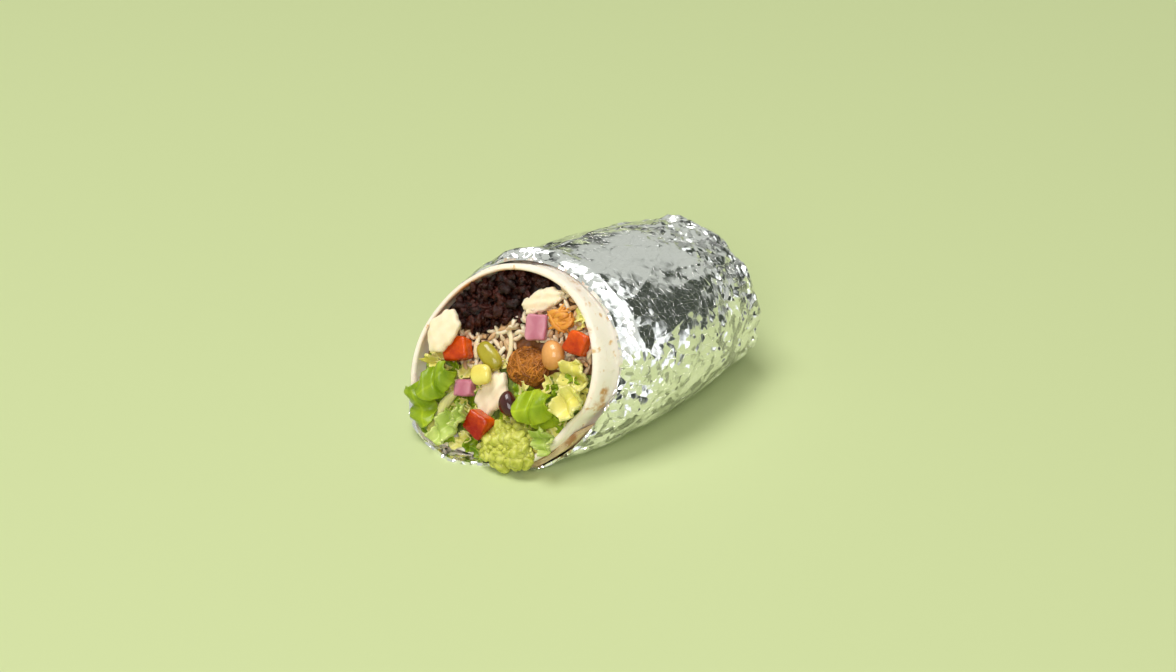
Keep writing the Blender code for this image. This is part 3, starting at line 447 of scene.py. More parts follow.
beside_meat = np.exp(-(((theta - radians(130)) / radians(36)) ** 2))
beside_meat = beside_meat * (0.85 + 0.3 * np.sin(11 * theta) + 0.15 * np.sin(29 * theta + 1))
soak = smoothstep(0.45, 1.0, depth / TORTILLA_WALL) * smoothstep(9, 1, behind) * beside_meat
rim_bake = 0.16 * smoothstep(1.2, 0, np.abs(behind)) * (0.5 + 0.5 * np.sin(5 * theta + 2)) * (depth > 0)
tones = np.pad(np.clip(soak + rim_bake, 0, 1).ravel(), (2 * theta.size, 2 * theta.size + 2))
cup = tube(np.concatenate([back_inner, rings, back_outer]))
new_piece("tortilla_cup", tortilla_finish, "tortilla", ["tortilla"], *cup, tones)

LAP_WALL, LAP_GAP = 1.5, 0.3
span = np.radians(np.linspace(LAP_FROM + 4, LAP_TO - 4, 60))[None, :]
behind = np.linspace(4.5, 106, 80)[:, None]
behind = behind + (1.6 * np.sin(2.2 * span) + 0.4 * np.sin(11 * span)) * smoothstep(20, 5, behind)
upper = skin(span, behind / BODY_LENGTH, waist(behind) + LAP_GAP, base)
lower = skin(span, behind / BODY_LENGTH, waist(behind) + LAP_GAP + LAP_WALL, base + LAP_WALL)
# The overlapping layer is painted darker brown than the tortilla cup: painted shade where it lies in the
# gap under the foil. Its brown spots are toast and its pale flecks flour.
lap_in_painted_shade = speckled(
    "tortilla_lap_painted_shade", (0.80, 0.62, 0.38), 0.65,
    [(60, 0.46, 0.62, (0.45, 0.22, 0.09)), (900, 0.55, 0.8, (0.93, 0.84, 0.68))],
)
plate = tube(np.concatenate([upper, lower[:, ::-1]], axis=1))
new_piece("tortilla_overlap", lap_in_painted_shade, "tortilla_lap", ["tortilla_lap"], *plate)


# The dark meat. Crumbled, dark braised meat packed at the top of the roll; crumbs of all sizes lie
# loose on its front, moist and nearly black.

TORTILLA_RIM_GAP, FILLING_RECESS = 0.85, 5.5
AXIS_HEIGHT = HALF_HEIGHTS[0] * (1 - FLATTENED)
OUT = Vector((tan(CUT_YAW), -1, tan(CUT_TILT))).normalized()
RIGHT = Vector((1, tan(CUT_YAW), 0)).normalized()
FACE = np.array(Matrix((RIGHT, OUT.cross(RIGHT), OUT)).transposed())
SIGHT = Vector((-0.607, 0.618, -0.5)).normalized()
RECESS_DEPTH = FILLING_RECESS * -OUT.y
CUTTER_REACH = (-80, 180)
DARK_MEAT_LINE = [(-60, 46), (-17, 42), (-4, 51), (10, 63), (15, 90), (-60, 90)]


def front_y(x, z):
    """The filling's bare front: the plane of the cut, moved back by the recess."""
    return (z - AXIS_HEIGHT) * tan(CUT_TILT) + x * tan(CUT_YAW) + FILLING_RECESS


def inside(outline, x, z):
    """Whether points lie inside an outline, by counting the sides crossed to their right."""
    hits = np.zeros(np.broadcast(x, z).shape, int)
    for (x0, z0), (x1, z1) in zip(outline, outline[1:] + outline[:1]):
        if z0 != z1:
            crossing = x0 + (z - z0) / (z1 - z0) * (x1 - x0)
            hits += ((z0 > z) != (z1 > z)) & (x < crossing)
    return hits % 2 == 1


def ripple(x, z, scale, seed):
    """Smooth unevenness, about -1 to 1: five sine waves at random headings."""
    rng = np.random.default_rng(seed)
    total = 0
    for _ in range(5):
        heading, phase = rng.uniform(0, 2 * pi, 2)
        stretch = rng.uniform(0.7, 1.5) / scale
        total = total + np.sin((x * np.cos(heading) + z * np.sin(heading)) * stretch * 2 * pi + phase)
    return total / 2.5


def filling_core(name, outline, bumps, material, node):
    """One filling along the roll: an uneven-fronted tube inside the tortilla, cut by its own outline.

    bumps is (depth, width) of the swells of its front, in millimetres.
    """
    theta = np.linspace(0, 2 * pi, 150, endpoint=False)[None, :]
    step = LAP_STEP * lap_share(theta)
    depth = TORTILLA_WALL + TORTILLA_RIM_GAP + step
    floor = FOIL_WALL + CLEARANCE + TORTILLA_WALL + TORTILLA_RIM_GAP + step
    rim = skin(theta, FILLING_RECESS / BODY_LENGTH, waist(FILLING_RECESS) + depth, floor)
    centre = np.array((SIDE_SHIFTS[0], 0, AXIS_HEIGHT))
    reach = np.linspace(0.02, 1, 40)[:, None, None]
    front = centre + (rim - centre) * reach
    x, z = front[..., 0], front[..., 2]
    swell = bumps[0] * (ripple(x, z, bumps[1], 3) + 0.5 * ripple(x, z, bumps[1] / 2.3, 4))
    front[..., 1] = front_y(x, z) - swell * smoothstep(1.0, 0.93, reach[..., 0])
    along = np.array([30, 60, 84, 108])[:, None]
    wall = skin(theta, along / BODY_LENGTH, waist(along) + depth, floor)
    back = skin(theta, 1.6, TORTILLA_WAIST + depth, floor, END_DOME - 7.5)
    core = new_piece(name, material, node, [node], *tube(np.concatenate([front, wall, back])))
    ends = [[(x, y, z) for x, z in outline] for y in CUTTER_REACH]
    sides = len(outline)
    bm = bmesh.new()
    points = [bm.verts.new((np.array(p) + FOOTPRINT_SHIFT) * MM) for end in ends for p in end]
    bm.faces.new(points[:sides])
    bm.faces.new(points[sides:])
    for i in range(sides):
        j = (i + 1) % sides
        bm.faces.new((points[i], points[j], points[sides + j], points[sides + i]))
    bmesh.ops.recalc_face_normals(bm, faces=bm.faces)
    cutter_mesh = bpy.data.meshes.new("cutter")
    bm.to_mesh(cutter_mesh)
    bm.free()
    cutter = bpy.data.objects.new("cutter", cutter_mesh)
    bpy.context.scene.collection.objects.link(cutter)
    cut = core.modifiers.new("cut", "BOOLEAN")
    cut.operation, cut.solver, cut.object = "INTERSECT", "EXACT", cutter
    bpy.context.view_layer.update()
    core.data = bpy.data.meshes.new_from_object(core.evaluated_get(bpy.context.evaluated_depsgraph_get()))
    core.modifiers.clear()
    bpy.data.objects.remove(cutter)


def crumb_shape(seed, rough, level=2):
    """A lump: a ball of triangles whose points are pushed in and out at random."""
    bm = bmesh.new()
    bmesh.ops.create_icosphere(bm, subdivisions=level, radius=1)
    verts = np.array([v.co for v in bm.verts])
    faces = np.array([[v.index for v in f.verts] for f in bm.faces])
    bm.free()
    rng = np.random.default_rng(seed)
    push = sum(np.sin(verts @ rng.normal(0, 2.6, 3) + rng.uniform(0, 6)) for _ in range(4)) / 2
    return verts * (1 + rough * push)[:, None] * rng.uniform(0.75, 1.15, 3), faces


def strewn(outline, spacing, seed, margin, skipped=()):
    """Places on the filling's front: a jittered net, inside an outline and clear of the rim.

    skipped holds circles (x, z, radius) where a larger piece lies.
    """
    rng = np.random.default_rng(seed)
    z, x = np.meshgrid(np.arange(3, 74, spacing * 0.87), np.arange(-42, 42, spacing), indexing="ij")
    x = x + spacing / 2 * (np.arange(len(z)) % 2)[:, None] + rng.uniform(-0.35, 0.35, x.shape) * spacing
    z = z + rng.uniform(-0.35, 0.35, x.shape) * spacing
    wide = HALF_WIDTHS[0] - TORTILLA_WALL - TORTILLA_RIM_GAP - margin
    high = HALF_HEIGHTS[0] - TORTILLA_WALL - TORTILLA_RIM_GAP - margin
    floor = FOIL_WALL + CLEARANCE + TORTILLA_WALL + TORTILLA_RIM_GAP + margin
    keep = ((x / wide) ** 2 + ((z - AXIS_HEIGHT) / high) ** 2 < 1) & (z > floor) & inside(outline, x, z)
    for cx, cz, radius in skipped:
        keep &= (x - cx) ** 2 + (z - cz) ** 2 > radius ** 2
    return x[keep], z[keep]


def turned(rng, count, rock):
    """Random turns in the plane of the cut with a little rocking out of it, as matrices."""
    rocks = [rng.uniform(-rock, rock, count), rng.uniform(-rock, rock, count)]
    angles = np.stack([*rocks, rng.uniform(0, 2 * pi, count)], -1)
    return np.array([FACE @ np.array(Euler(a).to_matrix()) for a in angles])


def merged(shapes):
    """Many shapes as one: points, faces and tones. Each is its points, its faces and its tone."""
    starts = np.cumsum([0] + [len(points) for points, _, _ in shapes])
    faces = [corners + start for (_, corners, _), start in zip(shapes, starts)]
    tones = [np.broadcast_to(tone, len(points)) for points, _, tone in shapes]
    verts = np.concatenate([points for points, _, _ in shapes])
    return verts, [np.concatenate(faces)], np.concatenate(tones)


def heap(shapes, turns, sizes, places, rng):
    """Copies of a few shapes, one at each place, merged, each copy with a random tone."""
    copies = []
    for pick, turn, size, place in zip(rng.integers(0, len(shapes), len(places)), turns, sizes, places):
        points, corners = shapes[pick]
        copies.append(((points * size) @ turn.T + place, corners, rng.random()))
    return merged(copies)


def on_front(x, z, out):
    """Points on the filling's front, raised by out along the outward direction."""
    return np.stack([x, front_y(x, z), z], -1) + np.array(OUT) * np.asarray(out)[..., None]


def make_mottle():
    """Shader group: a soft two-colour mottling with a fine grain, and its height."""
    group, given, result = shader_group(
        "mottle",
        [("Vector", "Vector", None), ("Scale", "Float", 200.0), ("Contrast", "Float", 2.0),
         ("Deep", "Color", (0, 0, 0, 1)), ("Pale", "Color", (1, 1, 1, 1)),
         ("Tone", "Float", 0.5), ("Tone Share", "Float", 0.0)],
        [("Color", "Color"), ("Height", "Float")],
    )
    grain = {"Vector": given["Vector"], "Scale": given["Scale"], "Detail": 6, "Roughness": 0.62}
    noise = add_node(group, "TexNoise", grain)["Fac"]
    centred = add_node(group, "Math", {0: noise, 1: 0.5}, operation="SUBTRACT")[0]
    stretch = {0: centred, 1: given["Contrast"], 2: 0.5}
    stretched = add_node(group, "Math", stretch, operation="MULTIPLY_ADD")[0]
    shares = {"Factor": given["Tone Share"], "A": stretched, "B": given["Tone"]}
    blended = add_node(group, "Mix", shares, clamp_result=True)["Result"]
    colours = {"Factor": blended, "A": given["Deep"], "B": given["Pale"]}
    coloured = add_node(group, "Mix", colours, data_type="RGBA", clamp_factor=True)["Result"]
    group.links.new(coloured, result["Color"])
    group.links.new(noise, result["Height"])
    return group


mottle = make_mottle()


def food_finish(name, deep, pale, roughness, scale, contrast=2.0, tone_share=0.0, bump_mm=0.25, **sockets):
    """A moist food surface: mottled between two colours, with a bump of the same grain."""
    mat, tree, shader = new_material(name, pale, roughness, **{"Specular_IOR_Level": 0.3, **sockets})
    values = {"Vector": add_node(tree, "TexCoord")["Object"], "Scale": scale, "Contrast": contrast,
              "Deep": (*deep, 1), "Pale": (*pale, 1), "Tone Share": tone_share}
    if tone_share:
        values["Tone"] = add_node(tree, "Attribute", attribute_name="tone")["Fac"]
    grain = add_node(tree, "Group", values, node_tree=mottle)
    tree.links.new(grain["Color"], shader["Base Color"])
    bump = add_node(tree, "Bump", {"Distance": bump_mm * MM, "Height": grain["Height"]})
    tree.links.new(bump["Normal"], shader["Normal"])
    return mat


dark_core = food_finish("dark_meat_core", (0.006, 0.002, 0.002), (0.025, 0.008, 0.005), 0.45, scale=380)
dark_crumbs = food_finish(
    "dark_meat_crumbs", (0.002, 0.001, 0.001), (0.068, 0.012, 0.006), 0.16, scale=420, contrast=3.6,
    tone_share=0.6, bump_mm=1.5, Specular_IOR_Level=0.25,
)
filling_core("dark_meat_bed", DARK_MEAT_LINE, (0.7, 11), dark_core, "dark_meat")
rng = np.random.default_rng(21)
shapes = [crumb_shape(seed, 0.5) for seed in range(24)]
CREAM_TOP_CLEAR = [(-1.5, 56.5, 4.5), (3.0, 60.0, 5.5), (8.0, 63.0, 5.5)]
x, z = strewn(DARK_MEAT_LINE, 2.1, 22, 1.0, CREAM_TOP_CLEAR)
more_x, more_z = strewn(DARK_MEAT_LINE, 3.4, 23, 2.4, CREAM_TOP_CLEAR)
x, z = np.concatenate([x, more_x]), np.concatenate([z, more_z])
first = np.arange(len(x)) < len(x) - len(more_x)
out = np.where(first, rng.uniform(-0.3, 2.0, len(x)), rng.uniform(1.6, 3.4, len(x)))
sizes = 0.8 + 1.1 * rng.uniform(0, 1, (len(x), 1, 1)) ** 1.8
sizes = sizes + 1.3 * (rng.uniform(0, 1, (len(x), 1, 1)) < 0.17)
sizes = sizes * rng.uniform(0.75, 1.25, (len(x), 1, 3))
crumbs = heap(shapes, turned(rng, len(x), 1.5), sizes, on_front(x, z, out), rng)
new_piece("dark_meat_crumbs", dark_crumbs, "dark_meat", ["dark_meat"], *crumbs)
shapes = [crumb_shape(seed, 0.42, level=3) for seed in range(24, 40)]
x, z = strewn(DARK_MEAT_LINE, 5.6, 24, 2.6, CREAM_TOP_CLEAR)
sizes = rng.uniform(1.7, 2.7, (len(x), 1, 1)) * rng.uniform(0.75, 1.2, (len(x), 1, 3))
places = on_front(x, z, rng.uniform(1.3, 2.7, len(x)))
clumps = heap(shapes, turned(rng, len(x), 1.5), sizes, places, rng)
new_piece("dark_meat_clumps", dark_crumbs, "dark_meat", ["dark_meat"], *clumps)


# The rice. Long grains seasoned light brown, with white ones among them, through the middle and up
# the right side of the roll.

RICE_LINE = [(-60, 46), (-60, 28), (-14, 28), (-2, 36), (-1, 44), (7, 47), (17, 44), (21, 38),
             (60, 43), (60, 90), (15, 90), (10, 63), (-4, 51), (-17, 42)]


def bean_shape(length, width, thick, bend=0.0, around=8, along=7, blunt=2.0):
    """A rounded body bent like a kidney; a higher blunt gives squarer ends. Ends run to points."""
    t = np.sin(np.linspace(-1, 1, along + 1) * 0.985 * pi / 2)[:, None]
    k = (1 - np.abs(t) ** blunt) ** (1 / blunt)
    phi = np.linspace(0, 2 * pi, around, endpoint=False)[None, :]
    x = t * length / 2 + 0 * phi
    y = k * np.cos(phi) * width / 2 + bend * (t * t - 0.4)
    z = k * np.sin(phi) * thick / 2
    return tube(np.stack([x, y, z], -1))


def as_triangles(faces):
    """Quads split in two, joined with the triangles, as one array."""
    quads, triangles = faces
    return np.concatenate([quads[:, [0, 1, 2]], quads[:, [0, 2, 3]], triangles])


# The bed behind the grains is dark brown: painted shade in the gaps between them.
shaded_rice_backing = food_finish("rice_backing_painted_shade", (0.07, 0.03, 0.012), (0.30, 0.15, 0.06), 0.5, scale=260)
rice_finish = food_finish(
    "rice_grain", (0.50, 0.25, 0.08), (0.96, 0.86, 0.68), 0.38, scale=160, tone_share=0.75, bump_mm=0.1,
    soft=(0.3, (0.002, 0.0012, 0.0008)),
)
filling_core("rice_backing_painted_shade", RICE_LINE, (0.8, 9), shaded_rice_backing, "rice")
rng = np.random.default_rng(31)
grains = [bean_shape(rng.uniform(4.2, 6.6), 2.0, 1.8, rng.uniform(-0.7, 0.7)) for _ in range(10)]
grains = [(points, as_triangles(corners)) for points, corners in grains]
x, z = strewn(RICE_LINE, 2.4, 32, 2.0)
turns = turned(rng, len(x), 0.75)
places = on_front(x, z, rng.uniform(0.2, 2.2, len(x)))
new_piece("rice_grains", rice_finish, "rice", ["rice"], *heap(grains, turns, np.ones(len(x)), places, rng))


# The pulled meat. A ball of brown shredded meat in the middle, moist with its sauce; its short fibres
# wind over it and hold each other.

PULLED_FIBRES = 560
PULLED_LINE = [(-1, 44), (-2, 36), (1, 30), (11, 28), (19, 30), (21, 38), (17, 44), (7, 47)]
PULLED_PLACE, PULLED_SIZE = {"x": 10.5, "z": 38.5, "roll": 20}, (18, 15, 4.5)
PIECE_GAP = 0.35


def on_mound(local, x, z, roll, depth=RECESS_DEPTH - PIECE_GAP):
    """Place points given about the middle of a mound's flat back, at a depth behind the cut."""
    spin = np.array(Matrix.Rotation(radians(roll), 3, "Z"))
    middle = np.array((x, (z - AXIS_HEIGHT) * tan(CUT_TILT) + x * tan(CUT_YAW), z))
    middle = middle + np.array(SIGHT) * (depth / -SIGHT.dot(OUT))
    return local @ spin.T @ FACE.T + middle


def dome_spots(count, rng):
    """Directions spread evenly over a half ball, each a little off its place."""
    number = np.arange(count)
    height = (number + 0.6) / count
    turn = number * pi * (3 - 5 ** 0.5)
    flat = np.sqrt(1 - height ** 2)
    spots = np.stack([flat * np.cos(turn), flat * np.sin(turn), height], -1)
    spots = spots + rng.normal(0, 0.03, (count, 3))
    return spots / np.linalg.norm(spots, axis=1, keepdims=True)


def dome_shape(size, wobble=0.04):
    """The front half of a slightly lumpy ellipsoid, flat behind."""
    lat = np.linspace(0, pi / 2 * 0.97, 18)[:, None]
    phi = np.linspace(0, 2 * pi, 48, endpoint=False)[None, :]
    r = 1 + wobble * np.sin(5 * phi + 4 * lat) * np.cos(3 * phi - 6 * lat)
    x, y = r * np.cos(lat) * np.cos(phi) * size[0] / 2, r * np.cos(lat) * np.sin(phi) * size[1] / 2
    return tube(np.stack([x, y, r * np.sin(lat) * size[2] + 0 * phi], -1))


def strand_shape(path, radius, around, flat=1.0, taper=0.55):
    """A strip or fibre carried along a path: a small ring at each point, thinner at its ends."""
    run = np.gradient(path, axis=0)
    run /= np.linalg.norm(run, axis=1, keepdims=True)
    side = np.cross(run, (0.03, 0.02, 1.0))
    side /= np.linalg.norm(side, axis=1, keepdims=True)
    top = np.cross(side, run)
    phi = np.linspace(0, 2 * pi, around, endpoint=False)
    thick = radius * (1 - (1 - taper) * np.linspace(-1, 1, len(path)) ** 2)[:, None]
    rings = path[:, None] + side[:, None] * (thick * np.cos(phi))[..., None]
    rings = rings + top[:, None] * (thick * np.sin(phi) * flat)[..., None]
    return tube(rings)


def joined(shapes, rng):
    """Tubes merged into one mesh of triangles, each with a random tone."""
    return merged([(points, as_triangles(corners), rng.random()) for points, corners in shapes])


pulled_core = food_finish("pulled_meat_core", (0.10, 0.03, 0.008), (0.24, 0.085, 0.022), 0.4, scale=400)
pulled_finish = food_finish(
    "pulled_meat_fibre", (0.12, 0.028, 0.003), (0.67, 0.25, 0.035), 0.33, scale=300, contrast=2.5,
    tone_share=0.6, bump_mm=0.2,
)
filling_core("pulled_meat_bed", PULLED_LINE, (0.5, 8), pulled_core, "pulled_meat")
rng = np.random.default_rng(41)
fibres = []
for spot in dome_spots(PULLED_FIBRES, rng):
    axis = Vector(np.cross(spot, rng.normal(size=3))).normalized()
    swing = rng.uniform(0.18, 0.55)
    path = np.array([Matrix.Rotation(t * swing, 3, axis) @ Vector(spot) for t in np.linspace(-1, 1, 7)])
    path = path * (np.array(PULLED_SIZE) / (2, 2, 1)) * rng.uniform(0.9, 1.07) + rng.normal(0, 0.16, (7, 3))
    path[:, 2] = np.maximum(path[:, 2], 0.2)
    points, corners = strand_shape(path, rng.uniform(0.2, 0.62), around=5)
    fibres.append((on_mound(points, **PULLED_PLACE), corners))
ball, faces = dome_shape(PULLED_SIZE)
ball = on_mound(ball * 0.97, **PULLED_PLACE)
new_piece("pulled_meat_ball", pulled_core, "pulled_meat", ["pulled_meat"], ball, faces)
new_piece("pulled_meat_fibres", pulled_finish, "pulled_meat", ["pulled_meat"], *joined(fibres, rng))


# The guacamole. Mashed avocado in soft lumps at the bottom of the opening; part of it has slid out
# over the rim of the tortilla.

GUACAMOLE_LINE = [(-5, -20), (26, -20), (26, 7), (19, 15), (2, 14), (-5, 8)]
SPILL_FORWARD = 1.8
MASH_MOUNDS = (
    ({"x": 13.5, "z": 13.5, "roll": 6, "depth": RECESS_DEPTH - PIECE_GAP}, (23, 9.5, 8), 46),
    ({"x": 14.0, "z": 7.5, "roll": 4, "depth": -SPILL_FORWARD}, (24, 14, 4.5), 64),
)

guacamole_finish = food_finish(
    "guacamole_mash", (0.32, 0.36, 0.012), (0.76, 0.76, 0.19), 0.28, scale=230, contrast=2.6,
    tone_share=0.4, bump_mm=0.35, soft=(0.35, (0.002, 0.002, 0.0008)),
)
filling_core("guacamole_bed", GUACAMOLE_LINE, (0.7, 7), guacamole_finish, "guacamole")
rng = np.random.default_rng(51)
lumps = [crumb_shape(seed, 0.2, level=3) for seed in range(60, 72)]
mash = []
for place, size, count in MASH_MOUNDS:
    points, corners = dome_shape(size, wobble=0.07)
    mash.append((on_mound(points * 0.96, **place), as_triangles(corners), 0))
    spots_on = dome_spots(count, rng) * (np.array(size) / (2, 2, 1)) * 0.9
    sizes = 1.2 + 2.0 * rng.uniform(0, 1, (count, 1, 1)) ** 1.5
    turns = np.array([np.array(Euler(a).to_matrix()) for a in rng.uniform(-3, 3, (count, 3))])
    points, corners, _ = heap(lumps, turns, sizes, spots_on, rng)
    mash.append((on_mound(points, **place), corners[0], 0))
verts, faces, _ = merged(mash)
tones = ripple(verts[:, 0], verts[:, 2], 4, 5) * 0.5 + 0.5
new_piece("guacamole_mash", guacamole_finish, "guacamole", ["guacamole"], verts, faces, tones)


# The lettuce. Torn green and pale leaf packed along the bottom and both sides of the roll, with small
# curled scraps of it on the front; a few have fallen on the rim.

LETTUCE_LINE = [(-60, 28), (-60, -20), (-5, -20), (-5, 8), (2, 14), (19, 15), (26, 7), (26, -20),
                (60, -20), (60, 43), (21, 38), (19, 30), (11, 28), (1, 30), (-2, 36), (-14, 28)]


def leaf_shape(length, width, bend, fold, ruffle, waves, thick, phase, frill=0, swell=0, steps=(44, 30)):
    """A thin wavy leaf: bent along its length, folded along its rib, ruffled and fringed at its edges.

    Returns points, quads and a tone for each point: 1 on the pale rib and veins, 0 between.
    """
    u = np.linspace(0, 1, steps[0])[:, None]
    v = np.linspace(-1, 1, steps[1])[None, :]
    half = width / 2 * np.sin(pi * (0.14 + 0.78 * u)) ** 0.6
    half = half * (1 + frill * np.sin(2 * pi * 9 * u + phase) * np.abs(v) ** 3)
    x = v * half
    y = length * (u - 0.5) + 0.08 * length * v * v
    z = bend * (2 * u - 1) ** 2 + fold * v * v
    z = z + ruffle * v * v * np.sin(2 * pi * waves * u + phase + 1.2 * v)
    z = z + 0.35 * ruffle * np.abs(v) ** 3 * np.sin(2 * pi * (3.4 * waves) * u - phase + 3 * v)
    z = z + 0.05 * np.cos(2 * pi * (5 * u + 1.8 * np.abs(v))) * (1 - np.abs(v))
    z = z + swell * np.sin(2 * pi * (1.7 * u + 0.45 * v) + phase) * np.sin(pi * u)
    middle = np.stack([x, y + 0 * v, z], -1)
    normal = np.cross(np.gradient(middle, axis=0), np.gradient(middle, axis=1))
    normal /= np.linalg.norm(normal, axis=2, keepdims=True)
    front, back = middle + normal * thick / 2, middle - normal * thick / 2
    rows, cols = steps
    i, j = np.meshgrid(np.arange(rows - 1), np.arange(cols - 1), indexing="ij")
    a = (i * cols + j).ravel()
    quads = np.stack([a, a + 1, a + cols + 1, a + cols], -1)
    shift = rows * cols
    last_row = (rows - 1) * cols
    loop = np.concatenate([np.arange(cols), np.arange(1, rows) * cols + cols - 1,
                           last_row + np.arange(cols - 2, -1, -1), np.arange(rows - 2, 0, -1) * cols])
    after = np.roll(loop, -1)
    hem = np.stack([loop, after, after + shift, loop + shift], -1)
    quads = np.concatenate([quads, quads[:, ::-1] + shift, hem])
    vein = (5 * u + 1.8 * np.abs(v)) % 1
    tone = 0.45 * np.exp(-((v / 0.06) ** 2))
    tone = tone + 0.15 * np.exp(-(((vein - 0.5) / 0.08) ** 2)) * (1 - np.abs(v))
    tone = tone + 0.3 * (1 - u) + 0.3 * np.abs(v) ** 3 + 0.15 * np.sin(5 * u + 4 * v + phase)
    tone = np.clip(tone, 0, 1).ravel()
    return np.concatenate([front, back]).reshape(-1, 3), quads, np.concatenate([tone, tone])


def leaf_finish(name, deep, pale):
    """Moist leaf: the tone of each point runs from the blade's colour to that of its veins."""
    return food_finish(
        name, deep, pale, 0.3, scale=150, contrast=1.8, tone_share=0.65, bump_mm=0.12,
        soft=(0.2, (0.0012, 0.0014, 0.0002)),
    )


green_leaf = leaf_finish("green_leaf", (0.085, 0.20, 0.001), (0.50, 0.62, 0.03))
light_leaf = leaf_finish("light_leaf", (0.30, 0.44, 0.03), (0.88, 0.93, 0.42))
pale_leaf = leaf_finish("pale_leaf", (0.70, 0.64, 0.07), (1.0, 0.96, 0.55))
lettuce_core = food_finish("lettuce_core", (0.06, 0.10, 0.012), (0.30, 0.38, 0.08), 0.5, scale=240)
filling_core("lettuce_bed", LETTUCE_LINE, (0.9, 8), lettuce_core, "lettuce")
rng = np.random.default_rng(61)
CREAM_MIDDLE_CLEAR = [(-1.6, 20.0, 7.0), (0.2, 26.0, 7.0), (1.5, 31.5, 6.0)]
GREEN_FALLEN = [(-13, 2.5), (-3.5, 3.5), (1, 1.6), (-25, 4)]
PALE_FALLEN = [(-16, 2.2), (-9, 2.2), (-6, 4.5), (3.5, 3), (-21, 5), (24.5, 57.5), (22.5, 59.0),
               (-31.5, 27.5), (-32.5, 32.0), (-30.0, 35.5), (-28.5, 31.0)]
for name, finish, seed, spacing, fallen in (
    ("lettuce_scraps_green", green_leaf, 62, 4.6, GREEN_FALLEN),
    ("lettuce_scraps_pale", pale_leaf, 63, 5.2, PALE_FALLEN),
):
    x, z = strewn(LETTUCE_LINE, spacing, seed, 2.4, CREAM_MIDDLE_CLEAR)
    fallen_x, fallen_z = np.array(fallen).T
    turns = turned(rng, len(x) + len(fallen), 0.5)
    places = on_front(x, z, rng.uniform(0.5, 2.0, len(x)))
    on_rim = on_front(fallen_x, fallen_z, np.where(fallen_z < 20, 5.2, 3.0))
    scraps = []
    for turn, place in zip(turns, np.concatenate([places, on_rim])):
        length, width, bend = rng.uniform(5, 8.5), rng.uniform(4, 6.5), rng.uniform(0.5, 1.6)
        fold, phase = rng.uniform(-1.5, 1.5), rng.uniform(0, 6)
        points, quads, tone = leaf_shape(length, width, bend, fold, 0.8, 2.5, 0.45, phase, steps=(12, 9))
        scraps.append((points @ turn.T + place, quads, tone))
    new_piece(name, finish, "lettuce", ["lettuce"], *merged(scraps))


# The sauced shreds. A little heap of thin shreds, orange with sauce, dropped loose on the upper right
# of the rice.

SHREDS, SHREDS_X, SHREDS_Z = 24, 18.3, 58.8

shred_finish = food_finish(
    "sauced_shred", (0.55, 0.16, 0.015), (0.93, 0.46, 0.09), 0.3, scale=300, tone_share=0.5, bump_mm=0.2
)


def bow(length, sag, rise=0.0, steps=9):
    """A curved path along X with its middle pushed aside and lifted."""
    t = np.linspace(-1, 1, steps)
    return np.stack([t * length / 2, sag * (1 - t * t), rise * (1 - t * t)], -1)


rng = np.random.default_rng(31)
points, corners = dome_shape((11.5, 8, 4), wobble=0.08)
shreds = [(on_mound(points, SHREDS_X, SHREDS_Z, 0), corners)]
for _ in range(SHREDS):
    path = bow(rng.uniform(5, 11), rng.uniform(-1.8, 1.8), rise=1.0)
    path = path + (rng.uniform(-2, 2), rng.uniform(-3.2, 3.2), rng.uniform(1.6, 3.6))
    points, corners = strand_shape(path, rng.uniform(0.6, 1.15), around=10, flat=0.5, taper=0.4)
    points = points @ np.array(Matrix.Rotation(rng.uniform(0, pi), 3, "Z")).T
    shreds.append((on_mound(points, SHREDS_X, SHREDS_Z, 0), corners))
new_piece("sauced_shreds_heap", shred_finish, "sauced_shreds", ["sauced_shreds"], *joined(shreds, rng))


# The diced tomato and onion. Hand-cut cubes with broken edges: three of red tomato with one side of
# skin, two of red onion, purple on the layers' outsides.

CORNER_POWER = 0.30


def squared(value):
    """A wave pressed toward -1 and 1, which squares a round section."""
    return np.sign(value) * np.abs(value) ** CORNER_POWER


def cube_shape(size, seed, chip=0.9, steps=22):
    """A hand-cut cube: a boxy superellipsoid stretched between eight uneven corners.

    Each axis of the ball's points is raised to a low power, which squares it; then the eight corners'
    offsets are blended over it. Also returns the points' places in the cube, -1 to 1.
    """
    rng = np.random.default_rng(seed)
    lat = np.linspace(-1, 1, steps + 2)[1:-1, None] * pi / 2
    lon = np.linspace(0, 2 * pi, steps * 2, endpoint=False)[None, :]
    across, up = squared(np.cos(lat)), squared(np.sin(lat))
    ball = np.stack([across * squared(np.cos(lon)), across * squared(np.sin(lon)), up + 0 * lon], -1)
    local = np.clip(ball, -1, 1)
    corner_offsets = rng.uniform(-chip, chip, (8, 3))
    signs = np.array([(a, b, c) for a in (-1, 1) for b in (-1, 1) for c in (-1, 1)])
    weights = np.prod((1 + signs[:, None, None] * local[None]) / 2, axis=-1)
    moved = np.einsum("kij,kc->ijc", weights, corner_offsets)
    dents = 0.15 * np.sin(2.3 * local[..., :1] * 2 + seed) * np.cos(3.1 * local[..., 1:2] * 2)
    verts, faces = tube(local * np.array(size) / 2 + moved + dents * local)
    return verts, faces, np.concatenate([local.reshape(-1, 3), [[0, 0, -1], [0, 0, 1]]])


def rest_at(points, node, roll=0, tilt=0, turn=0):
    """Turn a shape in the plane of the cut and centre it where its solid lies."""
    spin = np.array(Euler((radians(tilt), radians(turn), radians(roll)), "XYZ").to_matrix())
    posed = points @ spin.T @ FACE.T
    low, high = (np.array(corner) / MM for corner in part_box(node))
    return posed + (low + high) / 2 - (posed.min(0) + posed.max(0)) / 2 - FOOTPRINT_SHIFT


